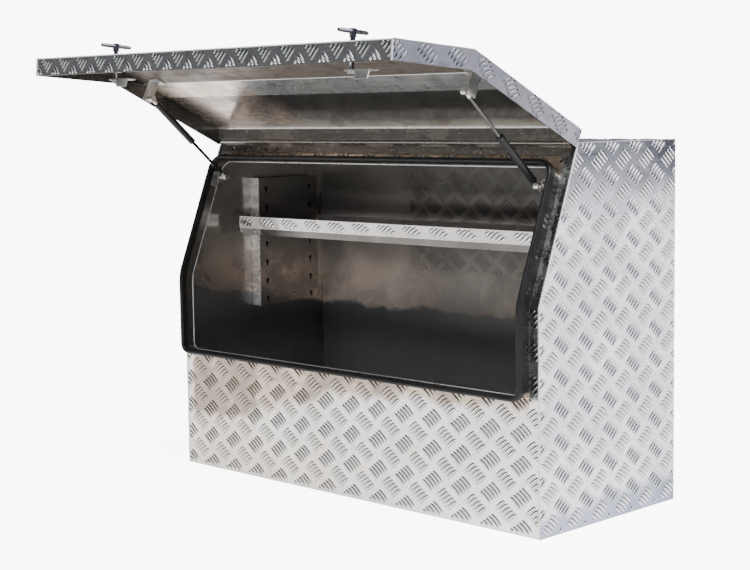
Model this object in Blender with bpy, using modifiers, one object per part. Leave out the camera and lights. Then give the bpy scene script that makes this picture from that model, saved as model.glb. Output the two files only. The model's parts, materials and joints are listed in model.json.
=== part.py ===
"""Side-opening tread-plate tool box for a pickup truck, with its lid held open by two gas struts.

Metres, +Z up. X runs along the box, the door side faces -Y, and the origin is the centre of the base.
The door side has a vertical lower face and a sloping upper face that meet in a fold. Pieces on it are
laid out flat, as (x, u, n): u is the distance up the face from the fold and n the height above it.
"""
import math

import bmesh
import bpy
from mathutils import Matrix, Vector

# Sheet metal and clearances
SHEET = 0.0025
GAP = 0.0003
BEND = 0.004
BEND_STEPS = 3
OVERRUN = 0.004
WELD = 0.00001

# Box
WIDTH = 1.200
DEPTH = 0.500
HEIGHT = 0.850
SETBACK = 0.136
FOLD_HEIGHT = 0.502

# Door opening, measured to the middle of its upstanding lip
JAMB = 0.030
SILL_HEIGHT = 0.307
HEAD_DROP = 0.055
LIP_HEIGHT = 0.0315
LIP_RADIUS_TOP = 0.035
LIP_RADIUS_BOTTOM = 0.020
CORNER_STEPS = 6

# Rubber seal pressed over the lip
SEAL_WIDTH = 0.012
SEAL_TOP = 0.0405
SEAL_SKIRT = 0.0235
SEAL_STEPS = 4

# Lid, a folded pan that stands proud of the door side
LID_HEIGHT = 0.044
LID_CLEARANCE = 0.002
LID_OVERHANG = 0.003
LID_BOTTOM = 0.2737
LID_REAR_EDGE = 0.010
LID_CHAMFER = 0.0035
LID_OPEN = math.radians(94.3)
CHANNEL_SHEET = 0.0015
CHANNEL_DEPTH = 0.0182
CHANNEL_FOOT = 0.0074

# Piano hinge along the top edge
HINGE_DROP = 0.004
HINGE_RISE = 0.009
HINGE_INSET = 0.015
KNUCKLE_RADIUS = 0.004
KNUCKLE_COUNT = 13
KNUCKLE_GAP = 0.0004
PIN_RADIUS = 0.002
LEAF = 0.0018
LEAF_WIDTH = 0.024
LEAF_START = 0.002
LID_LEAF_WIDTH = 0.0225
LID_LEAF_START = 0.0045

# Rivets
RIVET_RADIUS = 0.0035
RIVET_HEIGHT = 0.0013
RIVET_TOP_SHARE = 0.55
HINGE_RIVETS = 12

# Gas struts
STRUT_INSET = 0.075
BODY_BALL_RISE = 0.0118
LID_BALL_SHARE = 0.8029
LID_BALL_RISE = -0.0075
BALL_RADIUS = 0.005
STUD_NECK = 0.003
STUD_FLANGE = 0.006
STUD_FLANGE_LENGTH = 0.003
STUD_NUT = 0.0055
STUD_NUT_LENGTH = 0.004
STUD_REACH = 0.0165
SOCKET_RADIUS = 0.0078
SOCKET_WIDTH = 0.013
SOCKET_WALL = 0.0008
SOCKET_NECK = 0.005
SOCKET_LENGTH = 0.018
CYLINDER_RADIUS = 0.0085
CYLINDER_SHARE = 0.4804
CYLINDER_WALL = 0.0018
CYLINDER_END = 0.003
GLAND_LENGTH = 0.008
ROD_RADIUS = 0.004
PISTON_LENGTH = 0.010
PISTON_PLAY = 0.002
TURN_STEPS = 16

# Strut brackets
BRACKET_SHEET = 0.003
BRACKET_WIDTH = 0.022
BRACKET_BASE = 0.038
BRACKET_TAB = 0.028
BRACKET_HEAD = 0.0135
BRACKET_DROP = 0.001
LID_BRACKET_WIDTH = 0.030
LID_BRACKET_FOOT = 0.036
LID_BRACKET_TOE = 0.0095

# Shelf rails with keyholes
RAIL_SHEET = 0.002
RAIL_DEPTH = 0.0325
RAIL_FRONT = -0.016
RAIL_WIDTH = 0.216
RAIL_BOTTOM = 0.400
RAIL_TOP = 0.748
KEYHOLE_RADIUS = 0.0055
KEYHOLE_SLOT = 0.0028
KEYHOLE_DROP = 0.010
KEYHOLE_INSET = 0.028
KEYHOLE_PITCH = 0.050
KEYHOLE_ROWS = 7
KEYHOLE_TOP = 0.720
KEYHOLE_STEPS = 8
SLOT_STEPS = 4

# Shelf
SHELF_SHEET = 0.002
SHELF_TOP = 0.650
SHELF_FRONT = -0.096
SHELF_DEPTH = 0.292
SHELF_LIP = 0.031
SHELF_RETURN = 0.012
SHELF_UPSTAND = 0.018
STIFFENER_INSET = 0.130
STIFFENER_DEPTH = 0.016
STIFFENER_FOOT = 0.028
STIFFENER_SETBACK = 0.0015
HANGER_CLEARANCE = 0.0095
HANGER_DEPTH = 0.024
HANGER_LEDGE = 0.022
HANGER_SETBACK = 0.004
HANGER_TAPER = 0.020
HANGER_NOSE = 0.010
HOOK_ROW = 2
HOOK_RADIUS = 0.0025
HOOK_HEAD = 0.0045
HOOK_HEAD_LENGTH = 0.002

# Folding T-handle locks
LOCK_INSET = 0.200
LOCK_RISE = 0.088
DISH_SHEET = 0.0012
DISH_HALF = 0.044
DISH_RADIUS = 0.006
DISH_DEPTH = 0.0135
DISH_FLANGE = 0.010
DISH_FLANGE_SHEET = 0.0015
DISH_RIVET_INSET = 0.005
BARREL_RADIUS = 0.014
BARREL_LENGTH = 0.016
SPINDLE_RADIUS = 0.0055
SPINDLE_PLAY = 0.0004
CLEVIS_RADIUS = 0.009
CLEVIS_FLOOR = 0.003
CLEVIS_FLOOR_GAP = 0.001
CLEVIS_EAR = 0.003
CLEVIS_EAR_HALF = 0.005
HANDLE_PIN_RADIUS = 0.0015
HANDLE_PIN_DEPTH = 0.004
HANDLE_ARM = 0.034
HANDLE_LENGTH = 0.084
HANDLE_RADIUS = 0.005
HANDLE_END_SHARE = 0.72
HANDLE_SHOULDER_SHARE = 0.94
HANDLE_STEM = 0.006
HANDLE_STEM_WIDTH = 0.010
HANDLE_BOSS = 0.0075
HANDLE_BOSS_BELOW = 0.012
HANDLE_BOSS_ABOVE = 0.0062
KEY_RADIUS = 0.005
KEY_DEPTH = 0.0085
CAM_SHEET = 0.003
CAM_WIDTH = 0.020
CAM_REACH = 0.068
CAM_TAIL = 0.012
CAM_SKIRT = 0.019
CAM_CLEARANCE = 0.001
CAM_NOSE = 0.007
CAM_NUT_RADIUS = 0.0085
CAM_NUT_LENGTH = 0.005
FLAT_SIDES = 6

# Worked out from the sizes above
FRONT = -DEPTH / 2
BACK = DEPTH / 2
SLOPE = math.atan2(SETBACK, HEIGHT - FOLD_HEIGHT)
SLOPE_LENGTH = math.hypot(SETBACK, HEIGHT - FOLD_HEIGHT)
TOP_FRONT = FRONT + SETBACK
INNER_X = WIDTH / 2 - SHEET - GAP
LIP_X = WIDTH / 2 - JAMB
LIP_LOW = SILL_HEIGHT - FOLD_HEIGHT
LIP_HIGH = SLOPE_LENGTH - HEAD_DROP
LID_UNDER = LID_HEIGHT - SHEET
LID_TOP_U = SLOPE_LENGTH + LID_OVERHANG
LID_LOW_U = LID_BOTTOM - FOLD_HEIGHT
HINGE_U = SLOPE_LENGTH - HINGE_DROP
HINGE_LENGTH = WIDTH - 2 * HINGE_INSET
STRUT_X = WIDTH / 2 - STRUT_INSET
BODY_BALL_DROP = HEAD_DROP + LIP_RADIUS_TOP + BRACKET_DROP + BRACKET_HEAD
LID_BALL_DROP = SLOPE_LENGTH * LID_BALL_SHARE
STUD_FACE_X = STRUT_X + STUD_REACH
RAIL_X = WIDTH / 2 - SHEET - RAIL_DEPTH
SHELF_HALF = RAIL_X - HANGER_CLEARANCE - SHELF_SHEET - GAP
SHELF_LOW = SHELF_TOP - SHELF_LIP
LOCK_X = WIDTH / 2 - LOCK_INSET
LOCK_HEIGHT = LID_BOTTOM + LOCK_RISE
LID_FACE = FRONT - LID_HEIGHT
SIDES = {"left": -1, "right": 1}

# Planes that a flat outline or a sheet's section is turned into
ACROSS = Matrix(((0, 0, 1, 0), (1, 0, 0, 0), (0, 1, 0, 0), (0, 0, 0, 1)))
FACING = Matrix(((1, 0, 0, 0), (0, 0, -1, 0), (0, 1, 0, 0), (0, 0, 0, 1)))
UPRIGHT = Matrix(((0, 1, 0, 0), (0, 0, 1, 0), (1, 0, 0, 0), (0, 0, 0, 1)))
PROUD = Matrix(((0, 1, 0, 0), (-1, 0, 0, 0), (0, 0, 1, 0), (0, 0, 0, 1)))
DOWNHILL = Matrix(((0, 1, 0, 0), (0, 0, -1, 0), (-1, 0, 0, 0), (0, 0, 0, 1)))


for old in list(bpy.data.objects):
    bpy.data.objects.remove(old, do_unlink=True)

PARTS = bpy.data.collections.new("truck_tool_box")
CUTTERS = bpy.data.collections.new("cutters")
for group in (PARTS, CUTTERS):
    bpy.context.scene.collection.children.link(group)


def material(name, color, metallic, roughness):
    """A plain Principled material."""
    made = bpy.data.materials.new(name)
    made.use_nodes = True
    shader = made.node_tree.nodes["Principled BSDF"]
    shader.inputs["Base Color"].default_value = (*color, 1)
    shader.inputs["Metallic"].default_value = metallic
    shader.inputs["Roughness"].default_value = roughness
    made.diffuse_color = (*color, 1)
    return made


TREAD = material("tread_plate", (0.78, 0.79, 0.80), 1, 0.30)
SMOOTH = material("smooth_aluminium", (0.62, 0.60, 0.57), 1, 0.35)
CHROME = material("chrome", (0.80, 0.81, 0.83), 1, 0.08)
STEEL = material("zinc_steel", (0.60, 0.62, 0.64), 1, 0.35)
STAINLESS = material("stainless", (0.66, 0.66, 0.66), 1, 0.25)
RUBBER = material("seal_rubber", (0.02, 0.02, 0.02), 0, 0.6)
PAINT = material("strut_black", (0.03, 0.03, 0.03), 0, 0.4)


# Placing and making objects

def add(name, mesh, finish=None, parent=None, collection=PARTS):
    """Links a mesh as an object; without a finish it is a cutter."""
    item = bpy.data.objects.new(name, mesh)
    collection.objects.link(item)
    item.parent = parent
    if finish:
        mesh.materials.clear()
        mesh.materials.append(finish)
    return item


def frame(name, location, turn=0.0, parent=None):
    """An empty that carries pieces, turned about X."""
    empty = bpy.data.objects.new(name, None)
    PARTS.objects.link(empty)
    empty.parent = parent
    empty.location = location
    empty.rotation_euler.x = turn
    return empty


def as_cutter(item):
    """Moves an object to the cutters and hides it from renders."""
    for owner in list(item.users_collection):
        owner.objects.unlink(item)
    CUTTERS.objects.link(item)
    item.hide_render = True
    item.display_type = "WIRE"
    return item


def boolean(target, tool, operation):
    """Adds an exact Boolean with a cutter or a joining body."""
    step = target.modifiers.new(tool.name, "BOOLEAN")
    step.operation = operation
    step.object = as_cutter(tool)
    return target


def cut(target, tool):
    return boolean(target, tool, "DIFFERENCE")


def join(target, tool):
    return boolean(target, tool, "UNION")


def blocks(name, corners, finish=None, parent=None):
    """Boxes between pairs of opposite corners, in one object."""
    mesh = bpy.data.meshes.new(name)
    shape = bmesh.new()
    for first, second in corners:
        low = Vector(min(a, b) for a, b in zip(first, second))
        high = Vector(max(a, b) for a, b in zip(first, second))
        size = Matrix.Diagonal((*(high - low), 1))
        bmesh.ops.create_cube(shape, size=1, matrix=Matrix.Translation((low + high) / 2) @ size)
    shape.to_mesh(mesh)
    shape.free()
    return add(name, mesh, finish, parent)


def rounds(name, stretches, finish=None, parent=None, steps=TURN_STEPS):
    """Round bars or frustums, each (start, end, radius at start, radius at end), in one object."""
    mesh = bpy.data.meshes.new(name)
    shape = bmesh.new()
    for start, end, first, last in stretches:
        run = Vector(end) - Vector(start)
        turn = run.to_track_quat("Z", "Y").to_matrix().to_4x4()
        place = Matrix.Translation((Vector(start) + Vector(end)) / 2) @ turn
        bmesh.ops.create_cone(shape, cap_ends=True, segments=steps, radius1=first, radius2=last,
                              depth=run.length, matrix=place)
    shape.to_mesh(mesh)
    shape.free()
    mesh.shade_smooth()
    mesh.set_sharp_from_angle(angle=math.radians(40))
    return add(name, mesh, finish, parent)


def turned(name, profile, finish, parent=None, steps=TURN_STEPS):
    """A profile of (radius, height) points, outer side downwards, spun about Z."""
    mesh = bpy.data.meshes.new(name)
    points = [(radius, 0, height) for radius, height in profile]
    mesh.from_pydata(points, [(n, n + 1) for n in range(len(points) - 1)], [])
    item = add(name, mesh, finish, parent)
    spin = item.modifiers.new("spin", "SCREW")
    spin.steps = steps
    spin.render_steps = steps
    spin.use_merge_vertices = True
    spin.merge_threshold = WELD
    spin.use_normal_calculate = False
    return item


def arc(centre, radius, start, end, steps):
    """Points along an arc, both ends included; angles in radians."""
    angles = [start + (end - start) * n / steps for n in range(steps + 1)]
    return [(centre[0] + radius * math.cos(a), centre[1] + radius * math.sin(a)) for a in angles]


def bent(points, radius=BEND, steps=BEND_STEPS):
    """A polyline with an arc of the given radius at each inner point."""
    path = [points[0]]
    for before, corner, after in zip(points, points[1:], points[2:]):
        corner = Vector(corner)
        back = (Vector(before) - corner).normalized()
        onward = (Vector(after) - corner).normalized()
        half = back.angle(onward) / 2
        middle = corner + (back + onward).normalized() * radius / math.sin(half)
        start = corner + back * radius / math.tan(half) - middle
        sweep = -start.angle_signed(corner + onward * radius / math.tan(half) - middle)
        first = math.atan2(start.y, start.x)
        path += arc(middle, radius, first, first + sweep, steps)
    return path + [points[-1]]


def rounded_rectangle(half_width, low, high, radius_low, radius_high, steps=CORNER_STEPS):
    """A closed outline about x = 0 with unlike corner radii at its foot and head."""
    quarter = math.pi / 2
    right_low = arc((half_width - radius_low, low + radius_low), radius_low, -quarter, 0, steps)
    right_high = arc((half_width - radius_high, high - radius_high), radius_high, 0, quarter, steps)
    left_high = [(-x, y) for x, y in reversed(right_high)]
    left_low = [(-x, y) for x, y in reversed(right_low)]
    return right_low + right_high + left_high + left_low


def flat_curve(name, loops):
    """A filled 2D curve with one closed spline for each loop."""
    curve = bpy.data.curves.new(name, "CURVE")
    curve.dimensions = "2D"
    curve.fill_mode = "BOTH"
    for loop in loops:
        spline = curve.splines.new("POLY")
        spline.points.add(len(loop) - 1)
        for point, (x, y) in zip(spline.points, loop):
            point.co = (x, y, 0, 1)
        spline.use_cyclic_u = True
    return curve


def as_mesh(name, curve):
    """The mesh of a curve, its loose caps welded and its faces pointing out."""
    holder = bpy.data.objects.new(name, curve)
    PARTS.objects.link(holder)
    evaluated = holder.evaluated_get(bpy.context.evaluated_depsgraph_get())
    mesh = bpy.data.meshes.new_from_object(evaluated)
    mesh.name = name
    bpy.data.objects.remove(holder, do_unlink=True)
    shape = bmesh.new()
    shape.from_mesh(mesh)
    bmesh.ops.remove_doubles(shape, verts=shape.verts, dist=WELD)
    bmesh.ops.recalc_face_normals(shape, faces=shape.faces)
    shape.to_mesh(mesh)
    shape.free()
    return mesh


def plate(name, loops, low, high, finish=None, parent=None, plane=None):
    """A flat outline with holes, from low to high along its normal, turned into a plane."""
    curve = flat_curve(name, loops)
    curve.extrude = (high - low) / 2
    mesh = as_mesh(name, curve)
    mesh.transform(Matrix.Translation((0, 0, (high + low) / 2)))
    mesh.transform(plane or Matrix.Identity(4))
    return add(name, mesh, finish, parent)


def sheet(name, section, start, end, thickness, finish, parent=None, plane=None):
    """A folded sheet: a section of (y, z) points drawn from start to end along x.

    The sheet's thickness lies on the left of the section's direction.
    """
    mesh = bpy.data.meshes.new(name)
    count = len(section)
    points = [(x, y, z) for x in (start, end) for y, z in section]
    faces = [(n, n + 1, count + n + 1, count + n) for n in range(count - 1)]
    mesh.from_pydata(points, [], faces)
    mesh.transform(plane or Matrix.Identity(4))
    item = add(name, mesh, finish, parent)
    wall = item.modifiers.new("thickness", "SOLIDIFY")
    wall.thickness = thickness
    wall.offset = -1
    wall.use_even_offset = True
    return item


def on_door_side(x, u, n):
    """The place of a flat layout point on the folded door side."""
    if abs(u) < WELD:
        return Vector((x, FRONT - n, FOLD_HEIGHT + n * math.tan(SLOPE / 2)))
    if u < 0:
        return Vector((x, FRONT - n, FOLD_HEIGHT + u))
    along = Vector((0, math.sin(SLOPE), math.cos(SLOPE)))
    outward = Vector((0, -math.cos(SLOPE), math.sin(SLOPE)))
    return Vector((x, FRONT, FOLD_HEIGHT)) + along * u + outward * n


def fold(item):
    """Splits a flat layout at the fold line and bends it over the door side."""
    shape = bmesh.new()
    shape.from_mesh(item.data)
    everything = shape.verts[:] + shape.edges[:] + shape.faces[:]
    bmesh.ops.bisect_plane(shape, geom=everything, dist=WELD, plane_co=(0, 0, 0), plane_no=(0, 1, 0))
    for vert in shape.verts:
        vert.co = on_door_side(*vert.co)
    shape.to_mesh(item.data)
    shape.free()
    return item


def lip_loop(offset):
    """The lip's rounded outline, moved outwards by an offset."""
    return rounded_rectangle(LIP_X + offset, LIP_LOW - offset, LIP_HIGH + offset,
                             LIP_RADIUS_BOTTOM + offset, LIP_RADIUS_TOP + offset)


def door_section(points):
    """Turns (u, n) points into (y, z) on the door side."""
    return [tuple(on_door_side(0, u, n).yz) for u, n in points]


# Frames

SLOPE_FRAME = frame("slope_frame", (0, FRONT, FOLD_HEIGHT), -SLOPE)
HINGE_AXIS = on_door_side(0, HINGE_U, HINGE_RISE)
LID_PIVOT = frame("lid_pivot", HINGE_AXIS, -LID_OPEN)
LID_FRAME = frame("lid_frame", -HINGE_AXIS, 0, LID_PIVOT)
LID_SLOPE_FRAME = frame("lid_slope_frame", (0, FRONT, FOLD_HEIGHT), -SLOPE, LID_FRAME)


def box_shell():
    """The welded case: two end panels and the sheets between them."""
    outline = [(FRONT, 0), (BACK, 0), (BACK, HEIGHT), (TOP_FRONT, HEIGHT), (FRONT, FOLD_HEIGHT)]
    for side, sign in SIDES.items():
        faces = sorted((sign * WIDTH / 2, sign * (WIDTH / 2 - SHEET)))
        plate(side + "_side_panel", [outline], *faces, TREAD, plane=ACROSS)
    inner_low = SHEET + GAP
    inner_high = HEIGHT - SHEET - GAP
    blocks("base_panel", [((-INNER_X, FRONT, 0), (INNER_X, BACK, SHEET))], TREAD)
    blocks("back_panel", [((-INNER_X, BACK - SHEET, inner_low), (INNER_X, BACK, inner_high))], TREAD)
    top_start = TOP_FRONT + SHEET * math.cos(SLOPE) + GAP
    blocks("top_panel", [((-INNER_X, top_start, HEIGHT - SHEET), (INNER_X, BACK, HEIGHT))], TREAD)
    low = inner_low - FOLD_HEIGHT
    rim = [(-INNER_X, low), (INNER_X, low), (INNER_X, SLOPE_LENGTH), (-INNER_X, SLOPE_LENGTH)]
    hole = lip_loop(SHEET / 2 + GAP)
    fold(plate("front_panel", [rim, hole], -SHEET, 0, TREAD))


def door_lip():
    """The lip that stands around the opening, a collar set in the front panel's hole."""
    loops = [lip_loop(SHEET / 2), lip_loop(-SHEET / 2)]
    fold(plate("opening_lip", loops, -SHEET, LIP_HEIGHT, SMOOTH))


def door_seal():
    """The bulb seal: a channel section carried round the lip, with a rounded crown."""
    half = SEAL_WIDTH / 2
    slot = SHEET / 2 + GAP
    crown = arc((0, SEAL_TOP - half), half, 0, math.pi, SEAL_STEPS)
    feet = [(-half, SEAL_SKIRT), (-slot, SEAL_SKIRT), (-slot, LIP_HEIGHT + GAP)]
    section = crown + feet + [(-x, n) for x, n in reversed(feet)]
    profile = flat_curve("seal_section", [section])
    profile.fill_mode = "NONE"
    holder = bpy.data.objects.new("seal_section", profile)
    CUTTERS.objects.link(holder)
    curve = flat_curve("door_seal", [lip_loop(0)])
    curve.fill_mode = "NONE"
    curve.bevel_mode = "OBJECT"
    curve.bevel_object = holder
    mesh = as_mesh("door_seal", curve)
    bpy.data.objects.remove(holder, do_unlink=True)
    fold(add("door_seal", mesh, RUBBER))


def riveted(target, name, places, direction):
    """Adds low rivet heads to a sheet, each rising from its place along a direction."""
    rise = Vector(direction) * RIVET_HEIGHT
    heads = [(Vector(place) - rise / 2, Vector(place) + rise,
              RIVET_RADIUS, RIVET_RADIUS * RIVET_TOP_SHARE) for place in places]
    return join(target, rounds(name, heads, parent=target.parent, steps=8))


def knuckle_spans():
    """The ends of each hinge knuckle along X."""
    pitch = HINGE_LENGTH / KNUCKLE_COUNT
    start = -HINGE_LENGTH / 2
    half_gap = KNUCKLE_GAP / 2
    return [(start + n * pitch + half_gap, start + (n + 1) * pitch - half_gap)
            for n in range(KNUCKLE_COUNT)]


def hinge_leaf(name, parent, plate_corners, riser_corners, odd):
    """A leaf with its knuckles: a long plate, a riser under each knuckle and a bored barrel."""
    spans = [span for n, span in enumerate(knuckle_spans()) if n % 2 == odd]
    (y_low, z_low), (y_high, z_high) = plate_corners
    half = HINGE_LENGTH / 2
    leaf = blocks(name, [((-half, y_low, z_low), (half, y_high, z_high))], STAINLESS, parent)
    (y_low, z_low), (y_high, z_high) = riser_corners
    risers = blocks(name + "_risers", [((a, y_low, z_low), (b, y_high, z_high)) for a, b in spans],
                    parent=parent)
    join(leaf, risers)
    axis = (-HINGE_RISE, HINGE_U)
    barrels = rounds(name + "_barrels", [((a, *axis), (b, *axis), KNUCKLE_RADIUS, KNUCKLE_RADIUS)
                                         for a, b in spans], parent=parent, steps=12)
    join(leaf, barrels)
    bore = PIN_RADIUS + GAP
    hole = rounds(name + "_bore", [((-half - OVERRUN, *axis), (half + OVERRUN, *axis), bore, bore)],
                  parent=parent, steps=12)
    return cut(leaf, hole)


def piano_hinge():
    """Two leaves and a pin; slope frame coordinates are (x, -n, u)."""
    top = GAP + LEAF
    leaf_top = HINGE_U - LEAF_START
    body = hinge_leaf("hinge_body_leaf", SLOPE_FRAME, ((-GAP, leaf_top), (-top, leaf_top - LEAF_WIDTH)),
               ((-GAP - LEAF / 2, leaf_top - GAP), (-HINGE_RISE, leaf_top - LEAF)), 0)
    lid_leaf = LID_TOP_U - SHEET - GAP
    leaf_low = HINGE_RISE + LID_LEAF_START
    hinge_leaf("hinge_lid_leaf", LID_SLOPE_FRAME,
               ((-leaf_low, lid_leaf), (-leaf_low - LID_LEAF_WIDTH, lid_leaf - LEAF)),
               ((-HINGE_RISE, lid_leaf - GAP), (-leaf_low - LEAF, lid_leaf + GAP - LEAF)), 1)
    axis = (-HINGE_RISE, HINGE_U)
    half = HINGE_LENGTH / 2
    rounds("hinge_pin", [((-half, *axis), (half, *axis), PIN_RADIUS, PIN_RADIUS)], STAINLESS,
           SLOPE_FRAME, steps=12)
    body_row = leaf_top - LEAF_WIDTH / 2
    riveted(body, "hinge_body_rivets", [(x, -top, body_row) for x in rivet_row()], (0, -1, 0))


def rivet_row():
    """The rivets' places along the hinge."""
    pitch = HINGE_LENGTH / HINGE_RIVETS
    return [(n + 1 / 2) * pitch - HINGE_LENGTH / 2 for n in range(HINGE_RIVETS)]


def lid_shell():
    """The lid's folded skin, its two end plates and the channel behind the hinge."""
    outer = [(LID_TOP_U, LID_REAR_EDGE), (LID_TOP_U, LID_HEIGHT), (0, LID_HEIGHT),
             (LID_LOW_U, LID_HEIGHT), (LID_LOW_U, LID_CLEARANCE)]
    skin = sheet("lid_panel", bent(door_section(outer)), -INNER_X, INNER_X, SHEET, TREAD, LID_FRAME)
    window = DISH_HALF + DISH_SHEET + GAP
    corner = DISH_RADIUS + DISH_SHEET + GAP
    for side, sign in SIDES.items():
        loop = [(x + sign * LOCK_X, z) for x, z in rounded_rectangle(
            window, LOCK_HEIGHT - window, LOCK_HEIGHT + window, corner, corner, BEND_STEPS)]
        cut(skin, plate(side + "_lock_window", [loop], -LID_FACE - SHEET - OVERRUN,
                        -LID_FACE + OVERRUN, parent=LID_FRAME, plane=FACING))
    row = HINGE_RISE + LID_LEAF_START + LID_LEAF_WIDTH / 2
    places = [on_door_side(x, LID_TOP_U, row) for x in rivet_row()]
    riveted(skin, "hinge_lid_rivets", places, (0, math.sin(SLOPE), math.cos(SLOPE)))
    end = [(LID_TOP_U, LID_HEIGHT), (0, LID_HEIGHT), (LID_LOW_U, LID_HEIGHT),
           (LID_LOW_U, LID_CLEARANCE), (0, LID_CLEARANCE),
           (LID_TOP_U - LID_OVERHANG, LID_CLEARANCE), (LID_TOP_U, LID_CLEARANCE + LID_CHAMFER)]
    for side, sign in SIDES.items():
        faces = sorted((sign * WIDTH / 2, sign * (WIDTH / 2 - SHEET)))
        plate("lid_" + side + "_end", [door_section(end)], *faces, TREAD, LID_FRAME, ACROSS)
    back = LID_TOP_U - SHEET - LEAF - 2 * GAP
    top = LID_UNDER - GAP
    low = HINGE_RISE + LID_LEAF_START
    channel = [(back, top), (back - CHANNEL_DEPTH, top), (back - CHANNEL_FOOT, low), (back, low)]
    sheet("lid_hinge_channel", door_section(channel), -INNER_X + GAP, INNER_X - GAP,
          CHANNEL_SHEET, SMOOTH, LID_FRAME)


def ball_stud(name, parent, sign, shank):
    """A ball on a neck and flange; the shank, if any, passes a bracket and ends in a nut."""
    face = STUD_REACH - GAP
    flange = face - STUD_FLANGE_LENGTH
    crown = [(BALL_RADIUS * math.sin(a), BALL_RADIUS * math.cos(a))
             for a in (math.pi * n / 8 for n in range(8, 1, -1))]
    neck = [(STUD_NECK, flange), (STUD_FLANGE, flange), (STUD_FLANGE, face)]
    if shank:
        past = STUD_REACH + BRACKET_SHEET + GAP
        neck += [(STUD_NECK, face), (STUD_NECK, past), (STUD_NUT, past),
                 (STUD_NUT, past + STUD_NUT_LENGTH), (0, past + STUD_NUT_LENGTH)]
    else:
        neck += [(0, face)]
    outline = [(0, -BALL_RADIUS)] + crown[1:] + neck
    stud = turned(name, list(reversed(outline)), STEEL, parent, steps=12)
    stud.rotation_euler.y = sign * math.pi / 2
    return stud


def body_bracket(side, sign):
    """A folded U on the lip's inner face, its tab bored for the ball stud."""
    wall = LIP_X - SHEET / 2 - GAP
    head = SLOPE_LENGTH - BODY_BALL_DROP + BRACKET_HEAD
    section = [(wall, head - BRACKET_BASE), (wall, head), (STUD_FACE_X, head),
               (STUD_FACE_X, head - BRACKET_TAB)]
    if sign < 0:
        section = [(-x, u) for x, u in reversed(section)]
    low = BODY_BALL_RISE - BRACKET_WIDTH / 2
    bracket = sheet(side + "_strut_body_bracket", section, low, low + BRACKET_WIDTH, BRACKET_SHEET,
                    STEEL, SLOPE_FRAME, PROUD)
    ball = (-BODY_BALL_RISE, SLOPE_LENGTH - BODY_BALL_DROP)
    reach = (sign * (STUD_FACE_X - OVERRUN), *ball), (sign * (STUD_FACE_X + BRACKET_SHEET + OVERRUN), *ball)
    bore = STUD_NECK + GAP
    cut(bracket, rounds(side + "_stud_hole", [(*reach, bore, bore)], parent=SLOPE_FRAME, steps=12))
    seat = frame(side + "_body_ball", (sign * STRUT_X, *ball), 0, SLOPE_FRAME)
    ball_stud(side + "_body_ball_stud", seat, sign, shank=True)


def lid_bracket(side, sign):
    """A folded angle under the lid skin; the strut's upper stud meets its web."""
    web = STUD_FACE_X + BRACKET_SHEET
    top = LID_UNDER - GAP
    toe = LID_BALL_RISE - LID_BRACKET_TOE
    section = [(web, toe), (web, top), (web - LID_BRACKET_FOOT, top)]
    if sign < 0:
        section = [(-x, n) for x, n in reversed(section)]
    middle = LID_BALL_DROP - SLOPE_LENGTH
    sheet(side + "_strut_lid_bracket", section, middle - LID_BRACKET_WIDTH / 2,
          middle + LID_BRACKET_WIDTH / 2, BRACKET_SHEET, STEEL, LID_SLOPE_FRAME, DOWNHILL)


def socket(name, parent, sign, centre, toward):
    """A ball socket, bored from its outer side, with a neck towards the strut."""
    half = SOCKET_WIDTH / 2
    cup = rounds(name, [((-half, 0, centre), (half, 0, centre), SOCKET_RADIUS, SOCKET_RADIUS)],
                 STEEL, parent, steps=12)
    neck_start = centre + toward * (BALL_RADIUS + 2 * GAP)
    neck_end = centre + toward * SOCKET_LENGTH
    neck = rounds(name + "_neck", [((0, 0, neck_start), (0, 0, neck_end), SOCKET_NECK, SOCKET_NECK)],
                  parent=parent, steps=12)
    join(cup, neck)
    bore = BALL_RADIUS + GAP
    hole = rounds(name + "_bore", [((sign * (half + OVERRUN), 0, centre),
                                    (-sign * (half - SOCKET_WALL), 0, centre), bore, bore)],
                  parent=parent, steps=12)
    return cut(cup, hole)


def strut_cylinder(name, parent, foot, barrel, toward):
    """A bored cylinder with a gland at its mouth, from its foot towards the other end."""
    bore = CYLINDER_RADIUS - CYLINDER_WALL
    mouth = ROD_RADIUS + GAP
    profile = [(0, CYLINDER_END), (bore, CYLINDER_END), (bore, barrel - GLAND_LENGTH),
               (mouth, barrel - GLAND_LENGTH), (mouth, barrel),
               (CYLINDER_RADIUS, barrel), (CYLINDER_RADIUS, 0), (0, 0)]
    item = turned(name, profile, PAINT, parent)
    item.location.z = foot
    item.rotation_euler.x = 0 if toward > 0 else math.pi
    return item


def strut_rod(name, parent, foot, length, toward):
    """A rod with its piston; the piston end is the far one."""
    piston = CYLINDER_RADIUS - CYLINDER_WALL - GAP
    profile = [(0, length), (piston, length), (piston, length - PISTON_LENGTH),
               (ROD_RADIUS, length - PISTON_LENGTH), (ROD_RADIUS, 0), (0, 0)]
    item = turned(name, profile, CHROME, parent)
    item.location.z = foot
    item.rotation_euler.x = 0 if toward > 0 else math.pi
    return item


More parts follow.
